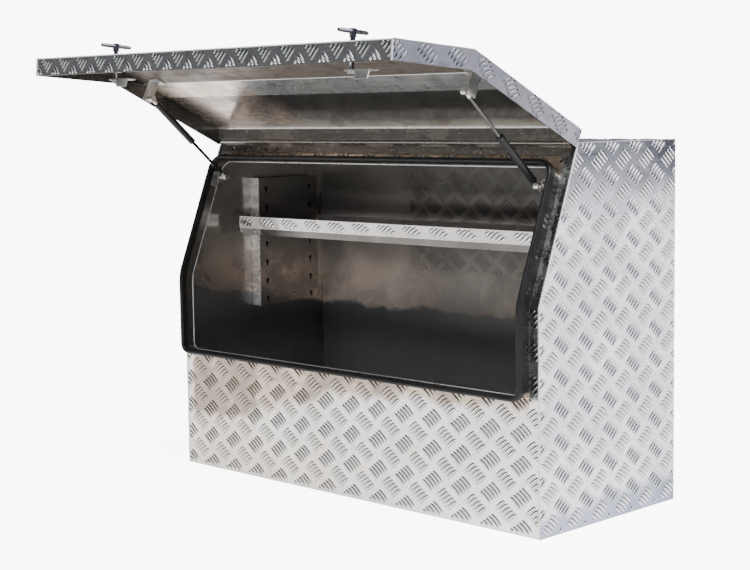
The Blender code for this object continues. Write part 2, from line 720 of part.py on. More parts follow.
def gas_strut(side, sign, cylinder_low):
    """A strut along local +Z from its lower ball, which lies on the strut's own pivot axis."""
    low = on_door_side(sign * STRUT_X, SLOPE_LENGTH - BODY_BALL_DROP, BODY_BALL_RISE)
    closed = on_door_side(sign * STRUT_X, SLOPE_LENGTH - LID_BALL_DROP, LID_BALL_RISE)
    opened = Matrix.Rotation(-LID_OPEN, 3, "X") @ (closed - HINGE_AXIS) + HINGE_AXIS
    run = opened - low
    length = run.length
    axis = frame(side + "_strut_pivot", low, math.atan2(-run.y, run.z))
    socket(side + "_strut_lower_socket", axis, sign, 0, 1)
    socket(side + "_strut_upper_socket", axis, sign, length, -1)
    end = frame(side + "_strut_end", (0, 0, length), 0, axis)
    ball_stud(side + "_strut_upper_ball", end, sign, shank=False)
    foot = SOCKET_LENGTH + GAP
    barrel = length * CYLINDER_SHARE
    inside = barrel - GLAND_LENGTH - PISTON_PLAY
    rod_length = length - 2 * foot - inside + PISTON_LENGTH
    if cylinder_low:
        strut_cylinder(side + "_strut_cylinder", axis, foot, barrel, 1)
        strut_rod(side + "_strut_rod", axis, length - foot, rod_length, -1)
    else:
        strut_cylinder(side + "_strut_cylinder", axis, length - foot, barrel, -1)
        strut_rod(side + "_strut_rod", axis, foot, rod_length, 1)


def keyhole(y, z):
    """A round hole with a slot below it, as a closed (y, z) outline."""
    half = math.asin(KEYHOLE_SLOT / KEYHOLE_RADIUS)
    quarter = math.pi / 2
    head = arc((y, z), KEYHOLE_RADIUS, half - quarter, 3 * quarter - half, KEYHOLE_STEPS)
    foot = arc((y, z - KEYHOLE_DROP), KEYHOLE_SLOT, 2 * quarter, 4 * quarter, SLOT_STEPS)
    return head + foot


def keyhole_columns():
    return RAIL_FRONT + KEYHOLE_INSET, RAIL_FRONT + RAIL_WIDTH - KEYHOLE_INSET


def shelf_rail(side, sign):
    """A folded channel welded to the end panel, with two columns of keyholes."""
    wall = INNER_X
    back = RAIL_FRONT + RAIL_WIDTH
    section = [(wall, back), (RAIL_X, back), (RAIL_X, RAIL_FRONT), (wall, RAIL_FRONT)]
    if sign < 0:
        section = [(-x, y) for x, y in reversed(section)]
    rail = sheet(side + "_shelf_rail", section, RAIL_BOTTOM, RAIL_TOP, RAIL_SHEET, SMOOTH, plane=UPRIGHT)
    holes = [keyhole(y, KEYHOLE_TOP - row * KEYHOLE_PITCH)
             for y in keyhole_columns() for row in range(KEYHOLE_ROWS)]
    reach = sorted((sign * (RAIL_X - OVERRUN), sign * (RAIL_X + RAIL_SHEET + OVERRUN)))
    cut(rail, plate(side + "_keyholes", holes, *reach, plane=ACROSS))


def shelf_hanger(side, sign):
    """The shelf's end bracket: a web, a ledge under the tray and two hooks through the rail."""
    top = SHELF_LOW - GAP
    inner = RAIL_X - HANGER_CLEARANCE - SHELF_SHEET
    outer = RAIL_X - HANGER_CLEARANCE
    start = SHELF_FRONT + HANGER_SETBACK
    back = SHELF_FRONT + SHELF_DEPTH
    low = top - HANGER_DEPTH
    web = [(start, top - HANGER_NOSE), (start + HANGER_TAPER, low), (back, low), (back, top), (start, top)]
    faces = sorted((sign * inner, sign * outer))
    hanger = plate(side + "_shelf_hanger", [web], *faces, SMOOTH, plane=ACROSS)
    ledge_start = SHELF_FRONT + STIFFENER_SETBACK + STIFFENER_FOOT + GAP
    ledge = blocks(side + "_ledge", [((sign * (inner - HANGER_LEDGE), ledge_start, top - SHELF_SHEET),
                                      (sign * (inner + SHELF_SHEET / 2), back, top))])
    join(hanger, ledge)
    hook_height = KEYHOLE_TOP - HOOK_ROW * KEYHOLE_PITCH - KEYHOLE_DROP
    head = RAIL_X + RAIL_SHEET + GAP
    tip = head + HOOK_HEAD_LENGTH
    shanks = [((sign * (outer - SHELF_SHEET / 2), y, hook_height), (sign * tip, y, hook_height),
               HOOK_RADIUS, HOOK_RADIUS) for y in keyhole_columns()]
    heads = [((sign * head, y, hook_height), (sign * tip, y, hook_height), HOOK_HEAD, HOOK_HEAD)
             for y in keyhole_columns()]
    join(hanger, rounds(side + "_hook_shanks", shanks, steps=12))
    join(hanger, rounds(side + "_hook_heads", heads, steps=12))


def shelf():
    """A folded tray on two hangers: a front lip hemmed inwards, a deck and a low rear edge."""
    back = SHELF_FRONT + SHELF_DEPTH
    section = [(SHELF_FRONT + SHELF_RETURN, SHELF_TOP), (SHELF_FRONT, SHELF_TOP),
               (SHELF_FRONT, SHELF_LOW), (back, SHELF_LOW), (back, SHELF_LOW + SHELF_UPSTAND)]
    sheet("shelf_tray", section, -SHELF_HALF, SHELF_HALF, SHELF_SHEET, TREAD)
    top = SHELF_LOW - GAP
    face = SHELF_FRONT + STIFFENER_SETBACK
    angle = [(face + STIFFENER_FOOT, top), (face, top), (face, top - STIFFENER_DEPTH)]
    half = WIDTH / 2 - STIFFENER_INSET
    sheet("shelf_stiffener", angle, -half, half, SHELF_SHEET, SMOOTH)
    for side, sign in SIDES.items():
        shelf_hanger(side, sign)


def square(half, radius):
    return rounded_rectangle(half, -half, half, radius, radius, BEND_STEPS)


def lock_dish(side, seat):
    """The pressed dish that the folded handle lies in; depths run inwards, along +Y."""
    tub = DISH_HALF + DISH_SHEET
    corner = DISH_RADIUS + DISH_SHEET
    rim = tub + DISH_FLANGE
    face = GAP + DISH_FLANGE_SHEET
    dish = plate(side + "_lock_dish", [square(rim, corner + DISH_FLANGE)], GAP, face, CHROME, seat, FACING)
    join(dish, plate(side + "_dish_tub", [square(tub, corner)], -DISH_DEPTH - DISH_SHEET,
                     face, parent=seat, plane=FACING))
    cut(dish, plate(side + "_dish_well", [square(DISH_HALF, DISH_RADIUS)], -DISH_DEPTH,
                    face + OVERRUN, parent=seat, plane=FACING))
    hole = SPINDLE_RADIUS + SPINDLE_PLAY
    floor = DISH_DEPTH + DISH_SHEET
    cut(dish, rounds(side + "_dish_hole", [((0, DISH_DEPTH - OVERRUN, 0), (0, floor + OVERRUN, 0),
                                            hole, hole)], parent=seat, steps=12))
    start = floor + GAP
    barrel = rounds(side + "_lock_barrel", [((0, start, 0), (0, start + BARREL_LENGTH, 0),
                                             BARREL_RADIUS, BARREL_RADIUS)], STEEL, seat, steps=TURN_STEPS)
    beyond = start + BARREL_LENGTH + OVERRUN
    cut(barrel, rounds(side + "_barrel_bore", [((0, start - OVERRUN, 0), (0, beyond, 0), hole, hole)],
                       parent=seat, steps=12))
    place = rim - DISH_RIVET_INSET
    corners = [(x, -face, z) for x in (-place, place) for z in (-place, place)]
    riveted(dish, side + "_dish_rivets", corners, (0, -1, 0))


def lock_rotor(side, seat):
    """The spindle with its clevis, the cam and the nut that holds it."""
    disc_face = DISH_DEPTH - CLEVIS_FLOOR_GAP
    disc_top = disc_face - CLEVIS_FLOOR
    cam_face = LID_HEIGHT + SHEET + CAM_CLEARANCE
    cam_back = cam_face + CAM_SHEET
    spindle_end = cam_back + GAP + CAM_NUT_LENGTH + CAM_CLEARANCE
    spindle = rounds(side + "_lock_spindle", [((0, disc_top, 0), (0, disc_face, 0),
                                               CLEVIS_RADIUS, CLEVIS_RADIUS)], CHROME, seat)
    join(spindle, rounds(side + "_shaft", [((0, disc_top + CLEVIS_FLOOR / 2, 0), (0, spindle_end, 0),
                                            SPINDLE_RADIUS, SPINDLE_RADIUS)], parent=seat, steps=12))
    near = HANDLE_STEM / 2 + GAP
    crest = HANDLE_PIN_DEPTH - CLEVIS_EAR_HALF
    ears = [((-CLEVIS_EAR_HALF, crest, z), (CLEVIS_EAR_HALF, disc_top + CLEVIS_FLOOR / 2, z + width))
            for z, width in ((near, CLEVIS_EAR), (-near, -CLEVIS_EAR))]
    join(spindle, blocks(side + "_ears", ears, parent=seat))
    reach = near + CLEVIS_EAR
    bore = HANDLE_PIN_RADIUS + GAP
    cut(spindle, rounds(side + "_ear_bore", [((0, HANDLE_PIN_DEPTH, -reach - OVERRUN),
                                              (0, HANDLE_PIN_DEPTH, reach + OVERRUN), bore, bore)],
                        parent=seat, steps=8))
    rounds(side + "_handle_pin", [((0, HANDLE_PIN_DEPTH, -reach), (0, HANDLE_PIN_DEPTH, reach),
                                   HANDLE_PIN_RADIUS, HANDLE_PIN_RADIUS)], STEEL, seat, steps=8)
    half = CAM_WIDTH / 2
    arm = [(-CAM_TAIL, -half), (CAM_REACH - CAM_NOSE, -half), (CAM_REACH, half - CAM_NOSE),
           (CAM_REACH, half), (-CAM_TAIL, half)]
    cam = plate(side + "_lock_cam", [arm], -cam_back, -cam_face, STEEL, seat, FACING)
    root = SPINDLE_RADIUS + CAM_TAIL
    edge = cam_face + CAM_SKIRT
    skirt = [(root, cam_face), (CAM_REACH - CAM_NOSE, cam_face),
             (CAM_REACH - 2 * CAM_NOSE, edge), (root, edge)]
    join(cam, plate(side + "_cam_skirt", [skirt], -half, -half + CAM_SHEET, parent=seat))
    hole = SPINDLE_RADIUS + GAP
    cut(cam, rounds(side + "_cam_hole", [((0, cam_face - OVERRUN, 0), (0, cam_back + OVERRUN, 0),
                                          hole, hole)], parent=seat, steps=12))
    start = cam_back + GAP
    nut = rounds(side + "_cam_nut", [((0, start, 0), (0, start + CAM_NUT_LENGTH, 0),
                                      CAM_NUT_RADIUS, CAM_NUT_RADIUS)], STEEL, seat, steps=FLAT_SIDES)
    cut(nut, rounds(side + "_nut_bore", [((0, start - OVERRUN, 0), (0, start + CAM_NUT_LENGTH + OVERRUN, 0),
                                          hole, hole)], parent=seat, steps=12))


def handle_bar(name, parent):
    """A tapered round bar across the head of the stem, along Z."""
    curve = bpy.data.curves.new(name, "CURVE")
    curve.dimensions = "3D"
    curve.bevel_depth = HANDLE_RADIUS
    curve.bevel_resolution = 2
    curve.use_fill_caps = True
    half = HANDLE_LENGTH / 2
    stations = [(-half, HANDLE_END_SHARE), (HANDLE_RADIUS - half, HANDLE_SHOULDER_SHARE), (0, 1),
                (half - HANDLE_RADIUS, HANDLE_SHOULDER_SHARE), (half, HANDLE_END_SHARE)]
    spline = curve.splines.new("POLY")
    spline.points.add(len(stations) - 1)
    for point, (height, share) in zip(spline.points, stations):
        point.co = (0, -HANDLE_ARM, height, 1)
        point.radius = share
    return add(name, as_mesh(name, curve), CHROME, parent)


def t_handle(side, seat):
    """The T: stem, boss and cross bar, on the pin's axis, with a key cylinder in its head."""
    pivot = frame(side + "_handle_pivot", (0, HANDLE_PIN_DEPTH, 0), 0, seat)
    handle = handle_bar(side + "_t_handle", pivot)
    head = -HANDLE_ARM - HANDLE_BOSS_ABOVE
    join(handle, rounds(side + "_boss", [((0, head, 0), (0, HANDLE_BOSS_BELOW - HANDLE_ARM, 0),
                                          HANDLE_BOSS, HANDLE_BOSS)], parent=pivot))
    half = HANDLE_STEM / 2
    wide = HANDLE_STEM_WIDTH / 2
    join(handle, blocks(side + "_stem", [((-wide, -HANDLE_ARM, -half), (wide, 0, half))], parent=pivot))
    join(handle, rounds(side + "_stem_eye", [((0, 0, -half), (0, 0, half), wide, wide)],
                        parent=pivot, steps=12))
    bore = HANDLE_PIN_RADIUS + GAP
    cut(handle, rounds(side + "_pin_bore", [((0, 0, -half - OVERRUN), (0, 0, half + OVERRUN), bore, bore)],
                       parent=pivot, steps=8))
    key_bore = KEY_RADIUS + GAP
    cut(handle, rounds(side + "_key_bore", [((0, head - OVERRUN, 0), (0, head + KEY_DEPTH, 0),
                                             key_bore, key_bore)], parent=pivot, steps=12))
    rounds(side + "_key_cylinder", [((0, head, 0), (0, head + KEY_DEPTH - GAP, 0), KEY_RADIUS, KEY_RADIUS)],
           STEEL, pivot, steps=12)


def locks():
    """Two locks near the lid's lower edge."""
    for side, sign in SIDES.items():
        seat = frame(side + "_lock_frame", (sign * LOCK_X, LID_FACE, LOCK_HEIGHT), 0, LID_FRAME)
        lock_dish(side, seat)
        lock_rotor(side, seat)
        t_handle(side, seat)


box_shell()
door_lip()
door_seal()
piano_hinge()
lid_shell()
for end, hand in SIDES.items():
    body_bracket(end, hand)
    lid_bracket(end, hand)
    gas_strut(end, hand, cylinder_low=hand > 0)
    shelf_rail(end, hand)
shelf()
locks()
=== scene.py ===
"""Looks for the tread-plate truck tool box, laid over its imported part.

Metres, in the part's frame: X along the box, the door side faces -Y, +Z up, and the origin is under
the middle of the base. Pieces on the lid are worked out with the lid shut and then opened.
"""
import json
import math

import bmesh
import bpy
import numpy as np
from mathutils import Matrix


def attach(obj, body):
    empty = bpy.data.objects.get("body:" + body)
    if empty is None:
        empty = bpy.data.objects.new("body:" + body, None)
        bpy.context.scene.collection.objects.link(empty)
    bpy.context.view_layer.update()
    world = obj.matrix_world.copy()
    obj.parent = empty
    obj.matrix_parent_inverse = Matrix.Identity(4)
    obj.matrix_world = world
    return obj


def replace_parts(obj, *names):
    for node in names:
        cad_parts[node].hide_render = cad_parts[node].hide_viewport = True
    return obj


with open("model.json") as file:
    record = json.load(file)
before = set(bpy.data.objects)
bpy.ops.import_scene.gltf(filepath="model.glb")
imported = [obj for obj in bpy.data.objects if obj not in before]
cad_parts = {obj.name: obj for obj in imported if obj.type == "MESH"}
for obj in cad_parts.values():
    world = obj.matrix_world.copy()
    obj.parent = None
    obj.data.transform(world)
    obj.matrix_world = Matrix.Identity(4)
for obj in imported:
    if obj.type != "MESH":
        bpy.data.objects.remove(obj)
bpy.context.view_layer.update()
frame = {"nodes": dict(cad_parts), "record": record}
NODES = frame["nodes"]

# Sizes of the part
WIDTH, DEPTH, HEIGHT = 1.200, 0.500, 0.850
SETBACK, FOLD = 0.136, 0.502
SHEET, GAP = 0.0025, 0.0003
SEAM = WIDTH / 2 - SHEET - GAP
SILL = 0.307
FRONT, BACK = -DEPTH / 2, DEPTH / 2
SLOPE = math.atan2(SETBACK, HEIGHT - FOLD)
SLOPE_LENGTH = math.hypot(SETBACK, HEIGHT - FOLD)
SLOPE_OUT = np.array([0, -math.cos(SLOPE), math.sin(SLOPE)])
SLOPE_UP = np.array([0, math.sin(SLOPE), math.cos(SLOPE)])
FOLD_POINT = np.array([0, FRONT, FOLD])
LIP_X = 0.570
LIP_LOW, LIP_HIGH = SILL - FOLD, SLOPE_LENGTH - 0.055
LIP_RADIUS_LOW, LIP_RADIUS_HIGH, LIP_STEP = 0.020, 0.035, 0.006
LID_HEIGHT, LID_CLEARANCE = 0.044, 0.002
LID_TOP, LID_LOW = SLOPE_LENGTH + 0.003, 0.2737 - FOLD
LID_TURN = np.array(Matrix.Rotation(math.radians(-94.3), 3, "X"))
HINGE_U, HINGE_N = SLOPE_LENGTH - 0.004, 0.009
LEAF_LOW = 0.032
LID_UNDER = LID_HEIGHT - SHEET
CHANNEL_U = LID_TOP - 0.0226
BEAD_U, BAND_U = 0.086, 0.168
LOCK_X, LOCK_U, DISH_HALF = 0.400, 0.3617 - FOLD, 0.0572
SHELF_FRONT, SHELF_BACK, SHELF_TOP = -0.096, 0.196, 0.650
SHELF_LIP, SHELF_X, SHELF_Z = 0.031, 0.5532, 0.590
DECK_X, DECK_FRONT = 0.505, SHELF_FRONT + 0.034
RAIL_FRONT, RAIL_WIDTH, RAIL_MIDDLE, RAIL_REACH = -0.016, 0.216, 0.574, 0.174
SIDES = (("left", -1), ("right", 1))

# The camera, fitted to the photograph's viewing angle
EYE = np.array([2.753, -2.910, 0.926])
YAW, PITCH, ROLL = math.radians(44.83), math.radians(6.16), math.radians(-0.82)
LENS, SENSOR = 77.6, 36.0

# Tread pattern: its lattice, the sizes of a bar, bare edges, phases of the lattice and low rises
LATTICE = np.array([0.0875, 0.0714])
BAR_LENGTH, BAR_WIDTH, BAR_HEIGHT, BAR_BOW = 0.037, 0.0068, 0.0019, 0.0013
BAR_ANGLE = math.radians(40)
BAR_STEP, BARS_IN_GROUP = np.array([0.0081, -0.0061]), 5
SHORTEST_BAR, BAR_MARGIN = 0.006, 0.0012
PLATE_EDGE, FOLD_EDGE, RIM_EDGE, LIP_EDGE = 0.004, 0.003, 0.005, 0.0016
SIDE_PHASE = (FRONT + 0.0781, 0.6308)
FRONT_PHASE = (-WIDTH / 2 + 0.0529, 0.261 - FOLD)
BACK_PHASE, TOP_PHASE = (0.01, 0.03), (0.02, 0.01)
LID_ROW, LID_COLUMN, LID_FOOT_ROW, LID_HEAD_ROW = -0.0045, -0.5505, -0.042, 0.038
SHELF_COLUMN, SHELF_ROW = -0.53, -0.0155
PRINT_AREA = (-0.25, 0.50, 0.55, 0.83)
WORN_RISE, DECK_RISE, LIP_RISE, PRINT_RISE = 0.0012, 0.0011, 0.0017, 0.00011

# Welds and bright lines
WELD_FOOT, WELD_STEP, WELD_RIPPLE = 0.003, 0.0011, 0.0045
WELD_HALF, WELD_HEIGHT = 0.0026, 0.0013
BEAD_SUNK, CHANNEL_PROUD, CHANNEL_EDGE, LIP_BEND = 0.0007, 0.0006, 0.0028, 0.0011


# Places on the part

def unit(vectors):
    """The same directions with a length of 1."""
    return vectors / np.linalg.norm(vectors, axis=-1, keepdims=True)


def raised(flat, height):
    """Flat points with a height as their third value."""
    return np.concatenate([flat, np.broadcast_to(height, flat.shape[:-1])[..., None]], -1)


def door_side(points):
    """Flat layout points (x, u, n) to the folded door side: u up the face from the fold, n above it."""
    x, u, n = np.moveaxis(np.asarray(points, float), -1, 0)
    on_slope = u > 0
    y = np.where(on_slope, u * math.sin(SLOPE) - n * math.cos(SLOPE), -n)
    z = np.where(on_slope, u * math.cos(SLOPE) + n * math.sin(SLOPE), u)
    at_fold = np.abs(u) < 1e-7
    z = np.where(at_fold, n * math.tan(SLOPE / 2), z)
    y = np.where(at_fold, -n, y)
    return np.stack([x, FRONT + y, FOLD + z], -1)


HINGE = door_side([0, HINGE_U, HINGE_N])


def opened(points):
    """Turns points on the shut lid about the hinge to where the open lid has them."""
    return (np.asarray(points, float) - HINGE) @ LID_TURN.T + HINGE


def plane(origin, right, up, move=None):
    """A flat face's own frame: (across, up, height) points to the part's frame."""
    basis = np.stack([right, up, np.cross(right, up)]).astype(float)

    def place(points):
        world = np.asarray(points, float) @ basis + origin
        return move(world) if move else world
    return place


# Meshes

def placed(name, data):
    """A new object in the scene, at the origin."""
    item = bpy.data.objects.new(name, data)
    bpy.context.scene.collection.objects.link(item)
    return item


def make(name, points, faces, body, finish):
    """One smooth mesh piece from arrays of points and faces, riding on a body of the part."""
    mesh = bpy.data.meshes.new(name)
    mesh.from_pydata(np.reshape(points, (-1, 3)), [], [list(face) for face in faces])
    mesh.update()
    item = placed(name, mesh)
    mesh.materials.append(finish)
    mesh.shade_smooth()
    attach(item, body)
    return item


def ring_faces(count, ring, closed=False):
    """Quads between neighbouring rings of points; closed joins the last ring to the first."""
    i, j = np.arange(count if closed else count - 1)[:, None], np.arange(ring)[None, :]
    after, beside = (i + 1) % count * ring, (j + 1) % ring
    return np.stack([i * ring + j, i * ring + beside, after + beside, after + j], -1).reshape(-1, 4)


BAR_STATIONS = np.array([[-0.84], [-0.36], [0.36], [0.84]])
BAR_FULLNESS = np.array([[0.82], [1], [1], [0.82]])
BAR_RING = np.array([[-1.25, 0], [-0.92, 0.16], [-0.50, 0.78], [0, 1], [0.50, 0.78], [0.92, 0.16],
                     [1.25, 0]])


def bar_template():
    """A raised bar: arched rings along it, narrower towards two pointed ends, and a flat underside."""
    across, up = BAR_RING[:, 0] * BAR_FULLNESS, BAR_RING[:, 1] * BAR_FULLNESS
    rings = np.stack([np.broadcast_to(BAR_STATIONS, up.shape), across, up], -1).reshape(-1, 3)
    points = np.concatenate([[(-1, 0, 0)], rings, [(1, 0, 0)]])
    last, ring = len(points) - 1, len(BAR_RING)
    end = last - 1 - ring
    faces = []
    for k in range(ring):
        a, b = 1 + k, 1 + (k + 1) % ring
        faces += [(0, b, a), (a + end, b + end, last)]
        for row in range(0, end, ring):
            faces += [(a + row, b + row, b + row + ring), (a + row, b + row + ring, a + row + ring)]
    return points, np.array(faces)


def bar_lines(low, high, phase, hands):
    """Middles and directions of every bar of the lattice that could reach an area.

    Groups of five parallel bars lie on a lattice of one hand, and groups of the other hand lie
    half a pitch away both ways.
    """
    step = np.arange(BARS_IN_GROUP) - (BARS_IN_GROUP - 1) / 2
    middles, ways = [], []
    for hand in hands:
        shift = np.array(phase) + (hand < 0) * LATTICE / 2
        first = np.floor((low - shift) / LATTICE).astype(int) - 1
        last = np.ceil((high - shift) / LATTICE).astype(int) + 1
        i, j = np.meshgrid(*(np.arange(a, b + 1) for a, b in zip(first, last)))
        centres = np.stack([i.ravel(), j.ravel()], -1) * LATTICE + shift
        offsets = step[:, None] * BAR_STEP * (1, hand)
        middles.append((centres[:, None] + offsets[None]).reshape(-1, 2))
        way = np.array([math.cos(BAR_ANGLE), hand * math.sin(BAR_ANGLE)])
        ways.append(np.broadcast_to(way, middles[-1].shape))
    return np.concatenate(middles), np.concatenate(ways)


def clipped_bars(area, phase, hands):
    """Middles, directions and half lengths of the bars, cut at the edges of a convex area.

    Bars left too short are dropped.
    """
    area = np.array(area, float)
    middle, way = bar_lines(area.min(0), area.max(0), phase, hands)
    low = np.full(len(middle), -BAR_LENGTH / 2)
    high = -low
    for start, end in zip(area, np.roll(area, -1, 0)):
        edge = unit(end - start)
        inward = np.array([-edge[1], edge[0]])
        room = (middle - start) @ inward - BAR_MARGIN
        rate = way @ inward
        with np.errstate(divide="ignore", invalid="ignore"):
            reach = -room / rate
        low = np.where(rate > 1e-9, np.maximum(low, reach), low)
        high = np.where(rate < -1e-9, np.minimum(high, reach), high)
        outside = (np.abs(rate) <= 1e-9) & (room < 0)
        high = np.where(outside, low, high)
    keep = high - low > SHORTEST_BAR
    middle, way, low, high = middle[keep], way[keep], low[keep], high[keep]
    centre = middle + way * ((low + high) / 2)[:, None]
    return centre, way, (high - low) / 2


def tread(name, faces, body, finish, rise=BAR_HEIGHT, hands=(1, -1)):
    """Raised bars over flat areas of a plate. faces: (place, convex area, lattice phase) each.

    Each bar is the template stretched to its length, with its middle bowed a little to one side.
    """
    template, triangles = bar_template()
    points = []
    for place, area, phase in faces:
        centre, way, half = clipped_bars(area, phase, hands)
        across = np.stack([-way[:, 1], way[:, 0]], -1)
        bow = BAR_BOW * (2 * half[:, None] / BAR_LENGTH) ** 2 * (1 - template[:, 0] ** 2)
        aside = template[:, 1] * BAR_WIDTH / 2 + bow
        flat = (centre[:, None] + way[:, None] * template[:, 0, None] * half[:, None, None]
                + across[:, None] * aside[..., None])
        points.append(place(raised(flat, template[:, 2] * rise).reshape(-1, 3)))
    points = np.concatenate(points)
    firsts = np.arange(0, len(points), len(template))
    every = (triangles + firsts[:, None, None]).reshape(-1, 3)
    piece = make(name, points, every, body, finish)
    piece.data.set_sharp_from_angle(angle=math.radians(60))
    crest = piece.data.attributes.new("crest", "FLOAT", "POINT")
    crest.data.foreach_set("value", np.tile(template[:, 2], len(firsts)))
    return piece


def rectangle(left, low, right, high):
    """Corners of an area, anticlockwise."""
    return [(left, low), (right, low), (right, high), (left, high)]


def framed(path):
    """Directions along a path of points, averaged where two stretches meet."""
    steps = unit(np.diff(path, axis=0))
    return unit(np.concatenate([steps[:1], steps[:-1] + steps[1:], steps[-1:]]))


def tube(name, rings, body, finish):
    """A closed piece from rings of points along it, with a flat cap at each end."""
    count, ring = rings.shape[:2]
    faces = [*ring_faces(count, ring), range(ring), range((count - 1) * ring, count * ring)]
    return outward_faces(make(name, rings, faces, body, finish))


def weld(name, corners, outward, body):
    """A weld bead along a path: a low arch whose height and width swell with each ripple."""
    corners = np.asarray(corners, float)
    lengths = np.linalg.norm(np.diff(corners, axis=0), axis=1)
    total = np.concatenate([[0], np.cumsum(lengths)])
    stations = np.arange(0, total[-1], WELD_STEP)
    path = np.stack([np.interp(stations, total, corners[:, k]) for k in range(3)], -1)
    which = np.clip(np.searchsorted(total, stations, side="right") - 1, 0, len(outward) - 1)
    up = np.asarray(outward, float)[which]
    side = unit(np.cross(framed(path), up))
    ripple = 1 + 0.16 * np.sin(stations * math.tau / WELD_RIPPLE) + 0.10 * np.sin(stations * 61)
    arch = np.linspace(0, math.pi, 7)
    ring = np.concatenate([np.stack([np.cos(arch), np.sin(arch)], -1), [[0, -0.4]]])
    across, over = np.moveaxis(ring * (WELD_HALF, WELD_HEIGHT) * ripple[:, None, None], -1, 0)[..., None]
    points = path[:, None] + side[:, None] * across + up[:, None] * over
    return tube(name, points, body, WELD_METAL)


def outward_faces(piece):
    """Points the faces of a closed piece outwards."""
    shape = bmesh.new()
    shape.from_mesh(piece.data)
    bmesh.ops.recalc_face_normals(shape, faces=shape.faces)
    shape.to_mesh(piece.data)
    shape.free()
    return piece


# Materials

class Field:
    """A value over a surface, from a node's output; each sum on it adds a Math node to its tree."""

    def __init__(self, tree, socket):
        self.tree, self.socket = tree, socket

    def worked(self, operation, first, second=0.0):
        made = self.tree.nodes.new("ShaderNodeMath")
        made.operation = operation
        feed(made.inputs[0], first)
        feed(made.inputs[1], second)
        return Field(self.tree, made.outputs["Value"])

    def __add__(self, other):
        return self.worked("ADD", self, other)

    def __sub__(self, other):
        return self.worked("SUBTRACT", self, other)

    def __rsub__(self, other):
        return self.worked("SUBTRACT", other, self)

    def __mul__(self, other):
        return self.worked("MULTIPLY", self, other)

    def __abs__(self):
        return self.worked("ABSOLUTE", self)

    def lesser(self, other):
        return self.worked("MINIMUM", self, other)


def feed(slot, value):
    """Puts a field, a colour, a vector or a number into a node's input."""
    if isinstance(value, Field):
        value.tree.links.new(value.socket, slot)
    else:
        slot.default_value = (*value[:3], 1) if slot.type == "RGBA" else value


def added(tree, kind, output, options=None, **inputs):
    """A new node with its options set and its inputs fed by name; gives one output as a field."""
    made = tree.nodes.new(kind)
    for name, value in (options or {}).items():
        setattr(made, name, value)
    for name, value in inputs.items():
        feed(made.inputs[name.replace("_", " ")], value)
    return Field(tree, made.outputs[output])


def noise(place, scale, detail=3, stretch=None, distortion=0.0):
    """A noise over a place; stretch multiplies the place first, to draw the noise out into streaks."""
    if stretch:
        place = added(place.tree, "ShaderNodeMapping", "Vector", Vector=place, Scale=stretch)
    return added(place.tree, "ShaderNodeTexNoise", "Fac", Vector=place, Scale=scale, Detail=detail,
                 Distortion=distortion)


def ranged(value, low, high, start=0.0, end=1.0):
    """Maps low..high to start..end with a smooth step; start and end may be fields."""
    return added(value.tree, "ShaderNodeMapRange", "Result", {"interpolation_type": "SMOOTHSTEP"},
                 Value=value, From_Min=low, From_Max=high, To_Min=start, To_Max=end)


def faded(value, low, high, start=1.0):
    """Maps low..high to start..0 with a smooth step."""
    return ranged(value, low, high, start, 0.0)


def blended(factor, first, second):
    """Mixes two colours, each a field or a triple."""
    return added(factor.tree, "ShaderNodeMix", "Result", {"data_type": "RGBA"}, Factor=factor, A=first,
                 B=second)


def dot(place, way):
    """How far a vector field reaches along a fixed direction: their dot product."""
    made = place.tree.nodes.new("ShaderNodeVectorMath")
    made.operation = "DOT_PRODUCT"
    feed(made.inputs[0], place)
    made.inputs[1].default_value = tuple(way)
    return Field(place.tree, made.outputs["Value"])


def object_place(tree):
    """Object coordinates as one field, then their X, Y and Z."""
    place = added(tree, "ShaderNodeTexCoord", "Object")
    split = tree.nodes.new("ShaderNodeSeparateXYZ")
    feed(split.inputs["Vector"], place)
    return [place] + [Field(tree, split.outputs[axis]) for axis in "XYZ"]


COLOURS = ["Light", "Dark", "Stain"]
MARKS = COLOURS + ["Smooth", "Rough", "Patch size", "Buckle", "Streaks"]
RESULTS = {"Color": "NodeSocketColor", "Roughness": "NodeSocketFloat", "Height": "NodeSocketFloat"}
END_PLATES = 0.560


def metal_group():
    """Rolled sheet: cloudy patches, rolling streaks along X, fine grain and scuffs over two tones.

    Near the ends, where the plates stand across X, the streaks run along Y. Bright patches are the
    smoother ones. The height is a slow buckle under a very fine ripple.
    """
    tree = bpy.data.node_groups.new("rolled_sheet", "ShaderNodeTree")
    for name in MARKS:
        kind = "NodeSocketColor" if name in COLOURS else "NodeSocketFloat"
        tree.interface.new_socket(name, in_out="INPUT", socket_type=kind)
    for name, kind in RESULTS.items():
        tree.interface.new_socket(name, in_out="OUTPUT", socket_type=kind)
    start, end = tree.nodes.new("NodeGroupInput"), tree.nodes.new("NodeGroupOutput")
    light, dark, stain, smooth, rough, patch, buckle, streaks = (
        Field(tree, start.outputs[name]) for name in MARKS)
    place, x, _, _ = object_place(tree)
    at_end = ranged(abs(x), END_PLATES, END_PLATES + 0.006)
    rolled = ranged(at_end, 0.0, 1.0, noise(place, 1, 3, (3, 150, 150)),
                    noise(place, 1, 3, (30, 3, 150)))
    grain = noise(place, 170)
    cloud = ranged(noise(place, patch, 5, distortion=0.6), 0.36, 0.64)
    shade = cloud * 0.62 + ranged(grain, 0.3, 0.7) * 0.12 + ranged(rolled, 0.34, 0.66) * streaks
    shade = ranged(shade, 0.1, 1.0)
    scuff = ranged(noise(place, 30, 5, distortion=0.5), 0.50, 0.74) * 0.75
    feed(end.inputs["Color"], blended(scuff, blended(shade, dark, light), stain))
    feed(end.inputs["Roughness"], ranged(shade, 0.0, 1.0, rough, smooth))
    feed(end.inputs["Height"], noise(place, 2.6, 2) * buckle + grain * 0.0003)
    return tree


